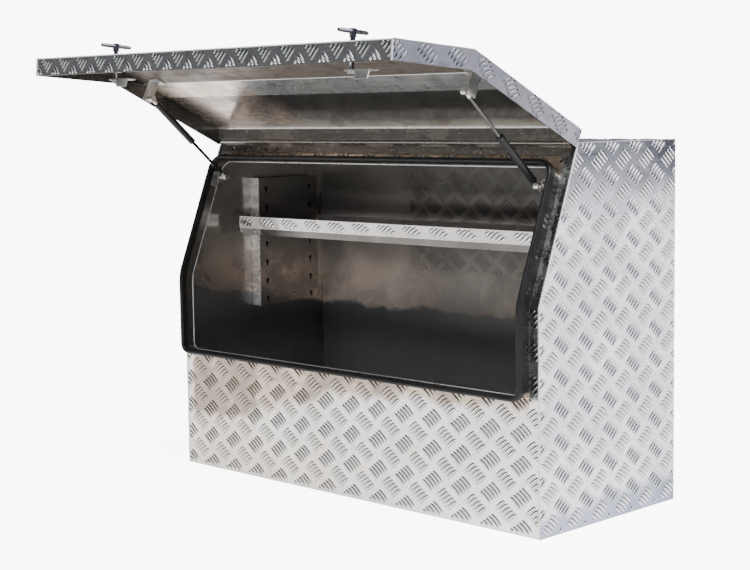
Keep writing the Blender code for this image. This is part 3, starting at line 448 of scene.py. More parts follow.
def mask_group(name, rule):
    """A group with one output, which a rule works out from the place and the object's X, Y and Z."""
    tree = bpy.data.node_groups.new(name, "ShaderNodeTree")
    tree.interface.new_socket("Inside", in_out="OUTPUT", socket_type="NodeSocketFloat")
    end = tree.nodes.new("NodeGroupOutput")
    feed(end.inputs["Inside"], rule(*object_place(tree)))
    return tree


def depth_group(name, planes, skin=0.0012):
    """A mask: 1 for points deeper than a skin under every outer plane (outward normal, point on it)."""
    def rule(place, x, y, z):
        least = None
        for normal, point in planes:
            depth = float(np.dot(normal, point)) - dot(place, normal)
            least = least.lesser(depth) if least else depth
        return ranged(least, skin - 0.0002, skin + 0.0002)
    return mask_group(name, rule)


def zone(rule):
    """Turns a rule into the mask group of its own name."""
    return mask_group(rule.__name__, rule)


def inside(tree, mask):
    """A mask group's value, in a tree."""
    where = tree.nodes.new("ShaderNodeGroup")
    where.node_tree = mask
    return Field(tree, where.outputs["Inside"])


def past_lip(x):
    """1 further out than the opening's lip."""
    return ranged(abs(x), LIP_X - 0.002, LIP_X + 0.004)


def on_ends(x):
    """1 on the end panels."""
    return ranged(abs(x), WIDTH / 2 - 0.010, WIDTH / 2 - 0.006)


def wavy_height(place, y, z):
    """Height above a wavy line on the inner walls, which climbs towards the door side."""
    return z + noise(place, 8, 5) * 0.10 + (y - BACK) * 0.20 - 0.435


# Painted reflection: the strips beside the seal get a dark tone for the dark surround they mirror.
@zone
def beside_the_seal(place, x, y, z):
    """1 on the two strips between the seal and the end panels, above the sill."""
    return past_lip(x) * ranged(z, SILL - 0.010, SILL + 0.002)


# Painted reflection: frayed light streaks, like a buckled mirror's, on the slope beside the seal.
@zone
def feathered(place, x, y, z):
    """1 on the slope beside the seal, up to a line that a drawn-out noise frays."""
    frayed = abs(x) + noise(place, 1, 4, (60, 150, 45)) * 0.030
    return (faded(frayed, LIP_X + 0.026, LIP_X + 0.033) * ranged(z, FOLD + 0.01, FOLD + 0.05)
            * past_lip(x))


# Painted reflection: a bluer, darker tone near the top of the end panels, mirroring the sky.
@zone
def high_side(place, x, y, z):
    """1 near the top of the end panels, with a cloudy lower limit."""
    return on_ends(x) * ranged(z + noise(place, 4) * 0.20, 0.76, 0.90)


# Painted reflection: a dark blue wedge at the foot of the end panels.
@zone
def low_side(place, x, y, z):
    """1 at the foot of the end panels, under a wavy line that climbs towards the back."""
    return on_ends(x) * faded(z + noise(place, 12) * 0.05 + (FRONT - y) * 0.06, 0.042, 0.082)


@zone
def left_front(place, x, y, z):
    """A partial mask on the front that grows towards its left end."""
    return faded(x + noise(place, 5, 4) * 0.5, -0.40, 0.55, 0.95)


# Makes the front and its bars warmer and browner above a wavy line.
@zone
def tarnished(place, x, y, z):
    """1 above a wavy line that climbs from low at the left end to just under the sill at the right."""
    edge = ranged(x, -0.85, 0.30, 0.10, 0.27)
    strip = past_lip(x) * faded(z, 0.76, 0.80)
    return ranged(z - edge + noise(place, 9, 4) * 0.09, 0.032, 0.062) * (1.0 - strip)


# Painted light: lifts the dark band on the back wall just over the shelf.
@zone
def over_the_shelf(place, x, y, z):
    """1 just over the shelf's height, fading upwards."""
    return ranged(z, SHELF_Z, SHELF_Z + 0.03) * faded(z, SHELF_Z + 0.09, SHELF_Z + 0.13)


@zone
def right_wall(place, x, y, z):
    """A partial mask that grows towards the right half of the inner walls."""
    return ranged(x, -0.36, -0.06, 0.0, 0.68)


# Painted light on the rails' front return.
@zone
def rail_return(place, x, y, z):
    """1 on the rails' front return."""
    return faded(y, RAIL_FRONT + 0.0015, RAIL_FRONT + 0.0025)


# Painted shadow: the wall behind the rails is near black, so their keyholes look dark.
@zone
def behind_rails(place, x, y, z):
    """1 on the wall that the rails cover, which shows only through their keyholes."""
    half = RAIL_WIDTH / 2
    across = faded(abs(y - (RAIL_FRONT + half)), half - 0.004, half - 0.002)
    return across * faded(abs(z - RAIL_MIDDLE), RAIL_REACH - 0.003, RAIL_REACH - 0.001)


# Painted light: lightens the shade at the foot of the inner walls.
@zone
def foot_wall(place, x, y, z):
    """1 at the foot of the inner walls, fading upwards."""
    return faded(z, 0.24, 0.37)


# Painted light: a warm pool of light on the inner walls, sharp along its lower edge.
@zone
def belt(place, x, y, z):
    """1 on a belt of the inner walls with a sharp wavy lower edge and a slow fade upwards."""
    height = wavy_height(place, y, z)
    return ranged(height, -0.009, 0.009) * faded(height, 0.03, 0.20)


# Painted shade on the inner walls under the pool of light.
@zone
def low_wall(place, x, y, z):
    """1 on the inner walls under the belt."""
    return faded(wavy_height(place, y, z), -0.009, 0.009)


# Painted light: a warm glow under the lid towards its left end.
@zone
def warm_end(place, x, y, z):
    """1 under the lid towards the left end, with a cloudy limit."""
    return faded(x + noise(place, 7) * 0.25, -0.15, -0.06)


@zone
def near_channel(place, x, y, z):
    """1 under the lid's skin at the hinge channel's edge, fading away from it."""
    way = LID_TURN @ SLOPE_UP
    edge = float(np.dot(way, opened(FOLD_POINT + SLOPE_UP * CHANNEL_U)))
    return ranged(y * float(way[1]) + z * float(way[2]), edge - 0.050, edge - 0.002, 0.0, 0.85)


ENDS = [((1, 0, 0), (WIDTH / 2, 0, 0)), ((-1, 0, 0), (-WIDTH / 2, 0, 0))]
BOX_PLANES = ENDS + [((0, -1, 0), FOLD_POINT), (SLOPE_OUT, FOLD_POINT), ((0, 0, 1), (0, 0, HEIGHT)),
                     ((0, 1, 0), (0, BACK, 0)), ((0, 0, -1), (0, 0, 0))]
LID_PLANES = ENDS + [(LID_TURN @ way, opened(point)) for way, point in (
    (np.array([0, -1, 0]), FOLD_POINT - (0, LID_HEIGHT, 0)),
    (SLOPE_OUT, FOLD_POINT + SLOPE_OUT * LID_HEIGHT),
    (np.array([0, 0, -1]), FOLD_POINT + (0, 0, LID_LOW)),
    (SLOPE_UP, FOLD_POINT + SLOPE_UP * LID_TOP))]
STRIP_PLANES = [(LID_TURN @ SLOPE_UP, opened(FOLD_POINT + SLOPE_UP * BEAD_U))]
BAND_PLANES = [(LID_TURN @ SLOPE_UP, opened(FOLD_POINT + SLOPE_UP * BAND_U)),
               (-STRIP_PLANES[0][0], STRIP_PLANES[0][1])]
LOOP_PLANES = [((1, 0, 0), (LIP_X, 0, 0)), ((-1, 0, 0), (-LIP_X, 0, 0)), ((0, 0, -1), (0, 0, SILL)),
               (SLOPE_UP, FOLD_POINT + SLOPE_UP * LIP_HIGH)]
IN_BOX = depth_group("inside_the_box", BOX_PLANES)
IN_LID = depth_group("under_the_lid", LID_PLANES)
IN_STRIP = depth_group("strip_by_the_fold", STRIP_PLANES)
IN_BAND = depth_group("band_by_the_fold", BAND_PLANES)
IN_LOOP = depth_group("inside_the_lip", LOOP_PLANES, skin=0.0001)
ROLLED = metal_group()


# Painted light: the warmest part, where the band and the warm end meet.
@zone
def warm_end_of_band(place, x, y, z):
    """1 where the band and the warm end meet."""
    return inside(place.tree, IN_BAND) * inside(place.tree, warm_end)


def marked(tree, tones):
    """The rolled sheet group with one row of tones: its colour, roughness and height."""
    marks = tree.nodes.new("ShaderNodeGroup")
    marks.node_tree = ROLLED
    for slot, value in zip(marks.inputs, tones):
        feed(slot, value)
    return [Field(tree, marks.outputs[name]) for name in RESULTS]


def zoned(tree, tones, zones):
    """Marked sheet, with further tones laid over its colour and roughness where each zone is 1."""
    colour, rough, height = marked(tree, tones)
    for mask, further in zones:
        where = inside(tree, mask)
        laid = marked(tree, further)
        colour = blended(where, colour, laid[0])
        rough = ranged(where, 0.0, 1.0, rough, laid[1])
    return colour, rough, height


def started(name, specular=0.5):
    """A new material, its node tree and the inputs of its Principled shader."""
    material = bpy.data.materials.new(name)
    material.use_nodes = True
    slots = material.node_tree.nodes["Principled BSDF"].inputs
    slots["Specular IOR Level"].default_value = specular
    return material, material.node_tree, slots


def sheet_metal(name, outer, inner=None, mask=None, metallic=1.0, bump=0.5, foot=None, zones=(),
                inner_zones=()):
    """Metal from the rolled sheet group.

    Inner faces, picked out by a depth mask, get marks of their own, and zones of both can have tones
    of their own. A foot colour darkens the low parts of raised bars by their crest attribute: painted
    shade in the crease round each bar.
    """
    material, tree, slots = started(name)
    colour, rough, height = zoned(tree, outer, zones)
    if inner:
        within = inside(tree, mask)
        under = zoned(tree, inner, inner_zones)
        colour = blended(within, colour, under[0])
        rough = ranged(within, 0.0, 1.0, rough, under[1])
        height = ranged(within, 0.0, 1.0, height, under[2])
    if foot:
        crest = added(tree, "ShaderNodeAttribute", "Fac", {"attribute_name": "crest"})
        colour = blended(ranged(crest, 0.05, 0.62), foot, colour)
    feed(slots["Base Color"], colour)
    feed(slots["Roughness"], rough)
    feed(slots["Metallic"], metallic)
    feed(slots["Normal"], added(tree, "ShaderNodeBump", "Normal", Strength=bump, Distance=0.02,
                                Height=height))
    return material


def plain_stuff(name, colour, worn, roughness, metallic=0.0, scale=60.0, specular=0.5):
    """A paint, rubber or plated finish with a little mottling in its colour and gloss."""
    material, tree, slots = started(name, specular)
    mottle = noise(added(tree, "ShaderNodeTexCoord", "Object"), scale, 4)
    feed(slots["Base Color"], blended(mottle, colour, worn))
    feed(slots["Roughness"], ranged(mottle, 0.3, 0.7, roughness * 0.8, roughness * 1.25))
    feed(slots["Metallic"], metallic)
    return material


# Tones of the sheets

# Each row has a light, a dark and a stained colour, the roughness of bright and of dark patches, the
# patches' scale, the buckle and the share of the rolling streaks.
SHEEN = (0.11, 0.22, 5.0, 0.45, 0.20)
SIDE_OUTER = ((0.93, 0.93, 0.98), (0.74, 0.74, 0.80), (0.64, 0.64, 0.70), *SHEEN)
FRONT_OUTER = ((1.0, 0.97, 0.925), (0.92, 0.88, 0.83), (0.80, 0.725, 0.64), *SHEEN)
LID_OUTER = ((0.46, 0.47, 0.48), (0.31, 0.32, 0.325), (0.26, 0.265, 0.265), 0.15, 0.26, 5.0, 0.30, 0.20)
END_OUTER = ((0.94, 0.94, 1.0), (0.76, 0.76, 0.84), (0.62, 0.62, 0.69), 0.13, 0.24, 5.0, 0.30, 0.20)
# INNER is much darker than the outer tones: painted shade on the faces inside the box.
INNER = ((0.235, 0.22, 0.20), (0.18, 0.168, 0.153), (0.21, 0.19, 0.167), 0.18, 0.26, 6.0, 0.40, 0.10)
# LEFT_INNER is a lighter copy of INNER for the left end's inner wall: painted light on that wall.
LEFT_INNER = ((0.40, 0.375, 0.34), (0.32, 0.30, 0.27), (0.36, 0.33, 0.295), 0.15, 0.20, 7.0, 0.25, 0.15)
SHADED = ((0.10, 0.094, 0.086), (0.08, 0.075, 0.068), (0.09, 0.084, 0.076), 0.30, 0.40, 6.0, 0.40, 0.10)
# EVEN_WALL and EVEN_PRINT paint light over the shelf in place of the shade there.
EVEN_WALL = ((0.50, 0.475, 0.44), (0.42, 0.395, 0.367), (0.45, 0.42, 0.38), 0.30, 0.40, 6.0, 0.40, 0.10)
PRINTED = ((0.16, 0.15, 0.137), (0.12, 0.113, 0.103), (0.14, 0.127, 0.11), *EVEN_WALL[3:])
EVEN_PRINT = ((0.33, 0.31, 0.29), (0.27, 0.255, 0.235), (0.29, 0.27, 0.245), *EVEN_WALL[3:])
WARM_PRINT = ((0.68, 0.58, 0.49), (0.48, 0.42, 0.36), (0.66, 0.55, 0.46), *EVEN_WALL[3:])
# Painted light and shade on the inner walls: warm light on the belt, shade under it, light at the foot.
WARM_WALL = ((1.0, 0.86, 0.73), (0.74, 0.65, 0.565), (1.0, 0.84, 0.70), 0.18, 0.30, 11.0, 0.40, 0.10)
WARM_LEFT = ((0.46, 0.395, 0.335), (0.30, 0.26, 0.225), (0.42, 0.355, 0.30), 0.18, 0.28, 14.0, 0.30, 0.10)
DARK_WALL = ((0.21, 0.21, 0.207), (0.195, 0.195, 0.193), (0.20, 0.20, 0.20), 0.34, 0.36, 7.0, 0.40, 0.0)
FOOT_TONES = ((0.40, 0.40, 0.395), (0.37, 0.37, 0.37), (0.38, 0.38, 0.38), 0.34, 0.36, 7.0, 0.40, 0.0)
# UNDER is much darker than the lid's outer tones: painted shade under the lid and inside its ends.
UNDER = ((0.165, 0.16, 0.151), (0.093, 0.09, 0.084), (0.11, 0.098, 0.087), 0.14, 0.26, 9.0, 0.22, 0.30)
LIT_UNDER = ((0.46, 0.405, 0.35), (0.34, 0.30, 0.26), (0.36, 0.31, 0.265), 0.16, 0.30, 9.0, 0.22, 0.30)
CHANNEL = ((0.32, 0.315, 0.275), (0.24, 0.21, 0.183), (0.22, 0.185, 0.155), 0.18, 0.34, 9.0, 0.22, 0.40)
# STRIP paints a dark brown reflection on the strip by the fold under the lid.
STRIP = ((0.215, 0.182, 0.153), (0.125, 0.105, 0.088), (0.095, 0.079, 0.067), 0.42, 0.60, 9.0, 0.30, 0.50)
# BAND paints a light reflection of the ground on the band beyond the strip.
BAND = ((0.68, 0.69, 0.68), (0.29, 0.305, 0.30), (0.43, 0.417, 0.395), 0.20, 0.38, 16.0, 0.30, 0.30)
# WARM_UNDER and WARM_BAND paint warm light towards the lid's left end.
WARM_UNDER = ((0.62, 0.50, 0.41), (0.32, 0.265, 0.225), (0.24, 0.21, 0.185), 0.14, 0.28, 9.0, 0.22, 0.30)
WARM_BAND = ((1.0, 0.85, 0.72), (0.86, 0.70, 0.57), (0.60, 0.57, 0.54), 0.20, 0.38, 12.0, 0.30, 0.30)
# Painted reflections on the end panels: bluish sky near the top and a dark blue wedge at the foot.
HIGH_TONES = ((0.62, 0.63, 0.71), (0.47, 0.48, 0.545), (0.43, 0.44, 0.50), *SHEEN)
LOW_TONES = ((0.42, 0.44, 0.56), (0.28, 0.30, 0.41), (0.34, 0.36, 0.47), *SHEEN)
WARM_FRONT = ((1.0, 0.945, 0.87), (0.86, 0.79, 0.705), (0.70, 0.60, 0.49), 0.12, 0.24, 7.0, 0.45, 0.20)
WARM_UPPER_BAR = ((0.80, 0.70, 0.59), (0.50, 0.41, 0.33), (0.38, 0.31, 0.25), 0.14, 0.28, 14.0, 0.0, 0.10)
# The near-black tone below paints the shadow behind the rails, seen through their keyholes.
SHADOW_BEHIND_RAILS = ((0.03, 0.03, 0.03), (0.02, 0.02, 0.02), (0.02, 0.02, 0.02), 0.45, 0.60, 20.0, 0.0, 0.0)
# FEATHER paints frayed light and dark streaks, like a buckled mirror's, on the slope beside the seal.
FEATHER = ((0.34, 0.35, 0.35), (0.10, 0.105, 0.104), (0.20, 0.204, 0.202), 0.45, 0.62, 40.0, 0.30, 0.30)
# BORDER paints a dark reflection on the strips beside the seal.
BORDER = ((0.34, 0.35, 0.35), (0.07, 0.073, 0.073), (0.12, 0.12, 0.115), 0.16, 0.30, 26.0, 0.30, 0.10)
WARM_UPPER_TONES = ((0.72, 0.60, 0.475), (0.42, 0.345, 0.275), (0.33, 0.27, 0.215), 0.18, 0.32, 7.0, 0.45, 0.20)
# LIP_SHEET is nearly black: painted shade on the outer wall of the opening's lip.
LIP_SHEET = ((0.10, 0.10, 0.10), (0.05, 0.05, 0.05), (0.08, 0.075, 0.07), 0.20, 0.36, 20.0, 0.10, 0.20)
RAIL = ((0.215, 0.20, 0.18), (0.20, 0.187, 0.168), (0.205, 0.19, 0.17), 0.38, 0.40, 7.0, 0.10, 0.0)
# WARM_RAIL paints the belt's warm light on the rails.
WARM_RAIL = ((0.46, 0.385, 0.32), (0.25, 0.215, 0.185), (0.50, 0.42, 0.35), 0.24, 0.34, 16.0, 0.10, 0.10)
# The light tone below is a lit copy of RAIL: painted light on the rails' front return.
LIT_RAIL_RETURN = ((0.95, 0.93, 0.90), (0.62, 0.60, 0.575), (0.50, 0.48, 0.455), 0.24, 0.38, 60.0, 0.10, 0.40)
BAR = ((0.93, 0.93, 0.94), (0.80, 0.80, 0.82), (0.72, 0.72, 0.73), 0.12, 0.22, 22.0, 0.0, 0.10)
# BORDER_BAR darkens the bars beside the seal: the same painted dark reflection.
BORDER_BAR = ((0.42, 0.43, 0.43), (0.16, 0.165, 0.165), (0.09, 0.09, 0.085), 0.16, 0.30, 40.0, 0.0, 0.10)
# The tone below is a darker copy of BAR for the lid edge's cross bars: painted shade on that hand.
SHADED_HAND_BAR = ((0.34, 0.35, 0.35), (0.24, 0.25, 0.25), (0.18, 0.19, 0.19), 0.20, 0.32, 30.0, 0.0, 0.10)
# END_BAR is darker than BAR: a painted dark reflection on the bars of the lid's ends.
END_BAR = ((0.36, 0.36, 0.40), (0.26, 0.26, 0.30), (0.20, 0.20, 0.23), 0.14, 0.26, 22.0, 0.0, 0.10)
BEAD = ((0.96, 0.96, 0.96), (0.76, 0.76, 0.77), (0.58, 0.57, 0.56), 0.25, 0.42, 60.0, 0.0, 0.0)
# EDGE is light for the rounded edges and beads: painted highlights along them.
EDGE = ((0.95, 0.95, 0.94), (0.80, 0.80, 0.79), (0.66, 0.64, 0.61), 0.25, 0.40, 30.0, 0.0, 0.1)
SIDE_PLATE = sheet_metal("side_sheet", SIDE_OUTER, INNER, IN_BOX, metallic=0.96,
                         zones=((high_side, HIGH_TONES), (low_side, LOW_TONES)))
FRONT_PLATE = sheet_metal("front_sheet", FRONT_OUTER, INNER, IN_BOX, metallic=0.86,
                          zones=((left_front, WARM_FRONT), (tarnished, WARM_UPPER_TONES),
                                 (beside_the_seal, BORDER), (feathered, FEATHER)))
DEEP_PLATE = sheet_metal("deep_sheet", SIDE_OUTER, INNER, IN_BOX, metallic=0.32,
                         inner_zones=((belt, WARM_WALL), (right_wall, SHADED),
                                      (over_the_shelf, EVEN_WALL), (low_wall, DARK_WALL),
                                      (foot_wall, FOOT_TONES)))
LEFT_PLATE = sheet_metal("left_sheet", SIDE_OUTER, LEFT_INNER, IN_BOX, metallic=0.80,
                         inner_zones=((belt, WARM_LEFT), (low_wall, DARK_WALL), (foot_wall, FOOT_TONES),
                                      (behind_rails, SHADOW_BEHIND_RAILS)))
LID_END = sheet_metal("lid_end_sheet", END_OUTER, UNDER, IN_LID, metallic=0.90, bump=0.3)
LID_SKIN = sheet_metal("lid_skin", LID_OUTER, UNDER, IN_LID, metallic=0.88, bump=0.28,
                       inner_zones=((warm_end, WARM_UNDER), (IN_BAND, BAND),
                                    (warm_end_of_band, WARM_BAND), (IN_STRIP, STRIP),
                                    (near_channel, LIT_UNDER)))
LIP_METAL = sheet_metal("lip_sheet", LIP_SHEET, INNER, IN_LOOP, metallic=0.85)
SHELF_SHEET = sheet_metal("shelf_sheet", FRONT_OUTER, metallic=0.35)
RAIL_METAL = sheet_metal("rail_sheet", RAIL, metallic=0.60,
                         zones=((belt, WARM_RAIL), (rail_return, LIT_RAIL_RETURN)))
# The foot colours of the bar materials paint shade in the crease round each bar's foot.
BARS = sheet_metal("tread_bars", BAR, foot=(0.12, 0.12, 0.13))
FRONT_BARS = sheet_metal("front_tread_bars", BAR, foot=(0.12, 0.115, 0.11),
                         zones=((left_front, WARM_FRONT), (tarnished, WARM_UPPER_BAR)))
BORDER_BARS = sheet_metal("border_tread_bars", BORDER_BAR, foot=(0.05, 0.05, 0.05),
                          zones=((feathered, FEATHER),))
LID_BARS = sheet_metal("lid_tread_bars", BAR, foot=(0.16, 0.165, 0.17))
SHADED_HAND_BARS = sheet_metal("worn_tread_bars", SHADED_HAND_BAR, foot=(0.16, 0.165, 0.165))
END_BARS = sheet_metal("lid_end_tread_bars", END_BAR, foot=(0.06, 0.06, 0.075))
# INSIDE carries INNER's painted shade onto the shelf's stiffener.
INSIDE = sheet_metal("mill_sheet", INNER, metallic=0.80)
# PRINT repeats the walls' painted light and shade in its zones.
PRINT = sheet_metal("printed_through", PRINTED, metallic=0.45,
                    zones=((belt, WARM_PRINT), (right_wall, SHADED), (over_the_shelf, EVEN_PRINT)))
UNDERSIDE = sheet_metal("lid_channel", CHANNEL, metallic=0.80)
WELD_METAL = sheet_metal("weld_metal", BEAD, metallic=0.75)
EDGE_HIGHLIGHT = sheet_metal("worn_edges", EDGE, metallic=0.7)
CHROME = plain_stuff("chrome_plate", (0.62, 0.63, 0.65), (0.50, 0.51, 0.53), 0.10, 1)
ROD_CHROME = plain_stuff("rod_chrome", (0.13, 0.127, 0.123), (0.08, 0.078, 0.075), 0.12, 1)
DARK_CHROME = plain_stuff("handle_plate", (0.26, 0.265, 0.29), (0.16, 0.165, 0.18), 0.22, 1)
ZINC = plain_stuff("zinc_plate", (0.80, 0.79, 0.77), (0.52, 0.51, 0.49), 0.34, 1)
STAINLESS = plain_stuff("hinge_stainless", (0.42, 0.39, 0.36), (0.26, 0.24, 0.22), 0.30, 1)
RUBBER = plain_stuff("bulb_rubber", (0.004, 0.004, 0.004), (0.009, 0.009, 0.009), 0.42, specular=0.25)
STRUT_PAINT = plain_stuff("strut_paint", (0.006, 0.006, 0.006), (0.012, 0.012, 0.012), 0.34,
                          specular=0.35)


# Tread bars on every plate

def box_treads():
    """Bars on the outer faces of the box; the opening, the hinge leaf and the weld seams stay bare."""
    profile = [(FRONT, PLATE_EDGE), (BACK, PLATE_EDGE), (BACK, HEIGHT), (FRONT + SETBACK, HEIGHT),
               (FRONT, FOLD)]
    turned = [(-y, z) for y, z in reversed(profile)]
    for side, sign, area in (("right", 1, profile), ("left", -1, turned)):
        end = plane((sign * WIDTH / 2, 0, 0), (0, sign, 0), (0, 0, 1))
        tread(f"{side}_side_bars", [(end, area, SIDE_PHASE)], "box", BARS)
    wall = plane((0, BACK, 0), (-1, 0, 0), (0, 0, 1))
    area = rectangle(-SEAM, PLATE_EDGE, SEAM, HEIGHT - PLATE_EDGE)
    tread("back_bars", [(wall, area, BACK_PHASE)], "box", BARS)
    roof = plane((0, 0, HEIGHT), (1, 0, 0), (0, 1, 0))
    area = rectangle(-SEAM, FRONT + SETBACK + PLATE_EDGE, SEAM, BACK - PLATE_EDGE)
    tread("top_bars", [(roof, area, TOP_PHASE)], "box", BARS)
    face, slope = plane(FOLD_POINT, (1, 0, 0), (0, 0, 1)), plane(FOLD_POINT, (1, 0, 0), SLOPE_UP)
    edge, sill, top = LIP_X + LIP_EDGE, LIP_LOW - LIP_EDGE, SLOPE_LENGTH - LEAF_LOW
    area = rectangle(-SEAM, PLATE_EDGE - FOLD, SEAM, sill)
    tread("front_bars", [(face, area, FRONT_PHASE)], "box", FRONT_BARS)
    areas = [(slope, rectangle(-edge, LIP_HIGH + LIP_EDGE, edge, top), FRONT_PHASE)]
    for low, high in ((-SEAM, -edge), (edge, SEAM)):
        areas.append((face, rectangle(low, sill, high, 0), FRONT_PHASE))
        areas.append((slope, rectangle(low, 0, high, top), FRONT_PHASE))
    tread("border_bars", areas, "box", BORDER_BARS, rise=WORN_RISE)


def quarter_turned(points):
    """The same points on a face whose own frame is turned a quarter, for sheet laid the other way."""
    return [(up, -across) for across, up in points]


def lid_treads():
    """Bars on the lid's outer skin and on its edges, worked out shut and then opened.

    The skin's sheet is laid a quarter turn from the box's, and its lattice runs on round each bend.
    """
    half = math.tan(SLOPE / 2)
    rise = LID_HEIGHT * half
    face = plane((0, FRONT - LID_HEIGHT, FOLD), (0, 0, 1), (-1, 0, 0), opened)
    slope = plane(FOLD_POINT + SLOPE_OUT * LID_HEIGHT, SLOPE_UP, (-1, 0, 0), opened)
    flange = plane((0, FRONT, FOLD + LID_LOW), (0, -1, 0), (-1, 0, 0), opened)
    around = (LID_ROW - LID_HEIGHT + LID_LOW, LID_COLUMN)
    under, over = LOCK_U - DISH_HALF, LOCK_U + DISH_HALF
    inner, outer = LOCK_X - DISH_HALF, LOCK_X + DISH_HALF
    spans = [(slope, -SEAM, FOLD_EDGE - rise, SEAM, LID_TOP - RIM_EDGE),
             (face, -SEAM, LID_LOW + RIM_EDGE, SEAM, under), (face, -SEAM, over, SEAM, rise - FOLD_EDGE),
             (face, -SEAM, under, -outer, over), (face, -inner, under, inner, over),
             (face, outer, under, SEAM, over)]
    areas = [(place, quarter_turned(rectangle(*sides)), around) for place, *sides in spans]
    tread("lid_bars", areas, "lid", LID_BARS)
    area = rectangle(-SEAM, LID_CLEARANCE + BAR_MARGIN, SEAM, LID_HEIGHT - FOLD_EDGE)
    edge = [(flange, quarter_turned(area), (LID_ROW, LID_COLUMN))]
    tread("lid_edge_bars", edge, "lid", LID_BARS, hands=(1,))
    tread("lid_edge_cross_bars", edge, "lid", SHADED_HAND_BARS, hands=(-1,))
    low, high = LID_CLEARANCE, LID_HEIGHT
    foot = [(LID_LOW, low), (low * half, low), (high * half, high), (LID_LOW, high)]
    head = [(-low * half, low), (LID_TOP, low), (LID_TOP, high), (-high * half, high)]
    middle = (low + high) / 2
    for side, sign in SIDES:
        corner = (sign * WIDTH / 2, FRONT, FOLD)
        areas = []
        for way, out, shape, start in (((0, 0, 1), (0, -1, 0), foot, LID_FOOT_ROW),
                                       (SLOPE_UP, SLOPE_OUT, head, LID_HEAD_ROW)):
            place = plane(corner, sign * np.array(way), out, opened)
            areas.append((place, [(sign * a, b) for a, b in shape][::sign], (sign * start, middle)))
        tread(f"lid_{side}_end_bars", areas, "lid", END_BARS, hands=(1,))


def shelf_treads():
    """Bars on the outer faces of the shelf: its front lip and the underside of its deck."""
    lip = plane((0, SHELF_FRONT, 0), (1, 0, 0), (0, 0, 1))
    area = rectangle(-SHELF_X, SHELF_TOP - SHELF_LIP + 0.002, SHELF_X, SHELF_TOP - FOLD_EDGE)
    phase = (SHELF_COLUMN, SHELF_TOP + SHELF_ROW)
    tread("shelf_lip_bars", [(lip, area, phase)], "shelf", BARS, rise=LIP_RISE)
    deck = plane((0, 0, SHELF_TOP - SHELF_LIP), (-1, 0, 0), (0, 1, 0))
    area = rectangle(-DECK_X, DECK_FRONT, DECK_X, SHELF_BACK - PLATE_EDGE)
    tread("shelf_deck_bars", [(deck, area, (SHELF_COLUMN, 0.0))], "shelf", BARS, rise=DECK_RISE)


def inner_print():
    """The tread's faint print on the inner side of the back wall."""
    wall = plane((0, BACK - SHEET, 0), (1, 0, 0), (0, 0, 1))
    faces = [(wall, rectangle(*PRINT_AREA), BACK_PHASE)]
    tread("back_print", faces, "box", PRINT, rise=PRINT_RISE)


def welds():
    """Beads along the seams where the end panels meet the folded sheets, on the box and the lid."""
    for side, sign in SIDES:
        x = sign * (WIDTH / 2 - SHEET)
        path = [(x, FRONT, WELD_FOOT), (x, FRONT, FOLD), (x, FRONT + SETBACK, HEIGHT),
                (x, BACK, HEIGHT), (x, BACK, WELD_FOOT)]
        ways = [(0, -1, 0), SLOPE_OUT, (0, 0, 1), (0, 1, 0)]
        weld(f"{side}_seam_weld", path, ways, "box")
        path = door_side([(x, LID_LOW, LID_CLEARANCE), (x, LID_LOW, LID_HEIGHT), (x, 0, LID_HEIGHT),
                          (x, LID_TOP, LID_HEIGHT)])
        ways = np.array([(0, 0, -1), (0, -1, 0), SLOPE_OUT]) @ LID_TURN.T
        weld(f"lid_{side}_weld", opened(path), ways, "lid")


def rod(name, path, radius, body, finish):
    """A round bead of one radius along a path of points: a circle carried square to the path."""
    path = np.asarray(path, float)
    ways = framed(path)
    side = unit(np.cross(ways, np.eye(3)[np.argmin(np.abs(ways).sum(0))]))
    up = np.cross(side, ways)
    turn = np.linspace(0, math.tau, 12, endpoint=False)[None, :, None]
    points = path[:, None] + radius * (np.cos(turn) * side[:, None] + np.sin(turn) * up[:, None])
    return tube(name, points, body, finish)


def bright_lines():
    """Rounded sheet edges round the lid's open side, a pressed bead and the channel's edge under its
    skin, and the bend along the inner face of the opening's lip."""
    radius = SHEET / 2
    reach = LID_CLEARANCE + radius
    across = np.linspace(-SEAM, SEAM, 25)
    lines = {"lid_front_rim": [(x, LID_LOW + radius, reach) for x in across],
             "lid_front_bend": [(x, LID_LOW + radius * 0.8, LID_HEIGHT - radius * 0.8) for x in across],
             "lid_cross_bead": [(x, BEAD_U, LID_UNDER + BEAD_SUNK) for x in across],
             "channel_edge": [(x, CHANNEL_U, LID_UNDER - CHANNEL_PROUD) for x in across]}
    for side, sign in SIDES:
        x = sign * (WIDTH / 2 - radius)
        lines[f"lid_{side}_rim"] = [(x, u, reach) for u in (LID_LOW + radius, -0.1, 0.0, 0.12, 0.24,
                                                            LID_TOP - 0.006)]
    # The light finish of these rods paints the highlight that each rounded edge catches.
    for name, path in lines.items():
        thick = CHANNEL_EDGE if name == "channel_edge" else radius
        rod(name, opened(door_side(path)), thick, "lid", EDGE_HIGHLIGHT)
    line, outward = lip_loop_points()
    flat = line - outward * (SHEET / 2 + 0.0002)
    path = soft_fold(raised(flat, LIP_BEND - SHEET))
    path = np.concatenate([path, path[:1]])
    rod("lip_inner_bend", path, LIP_BEND, "box", EDGE_HIGHLIGHT)


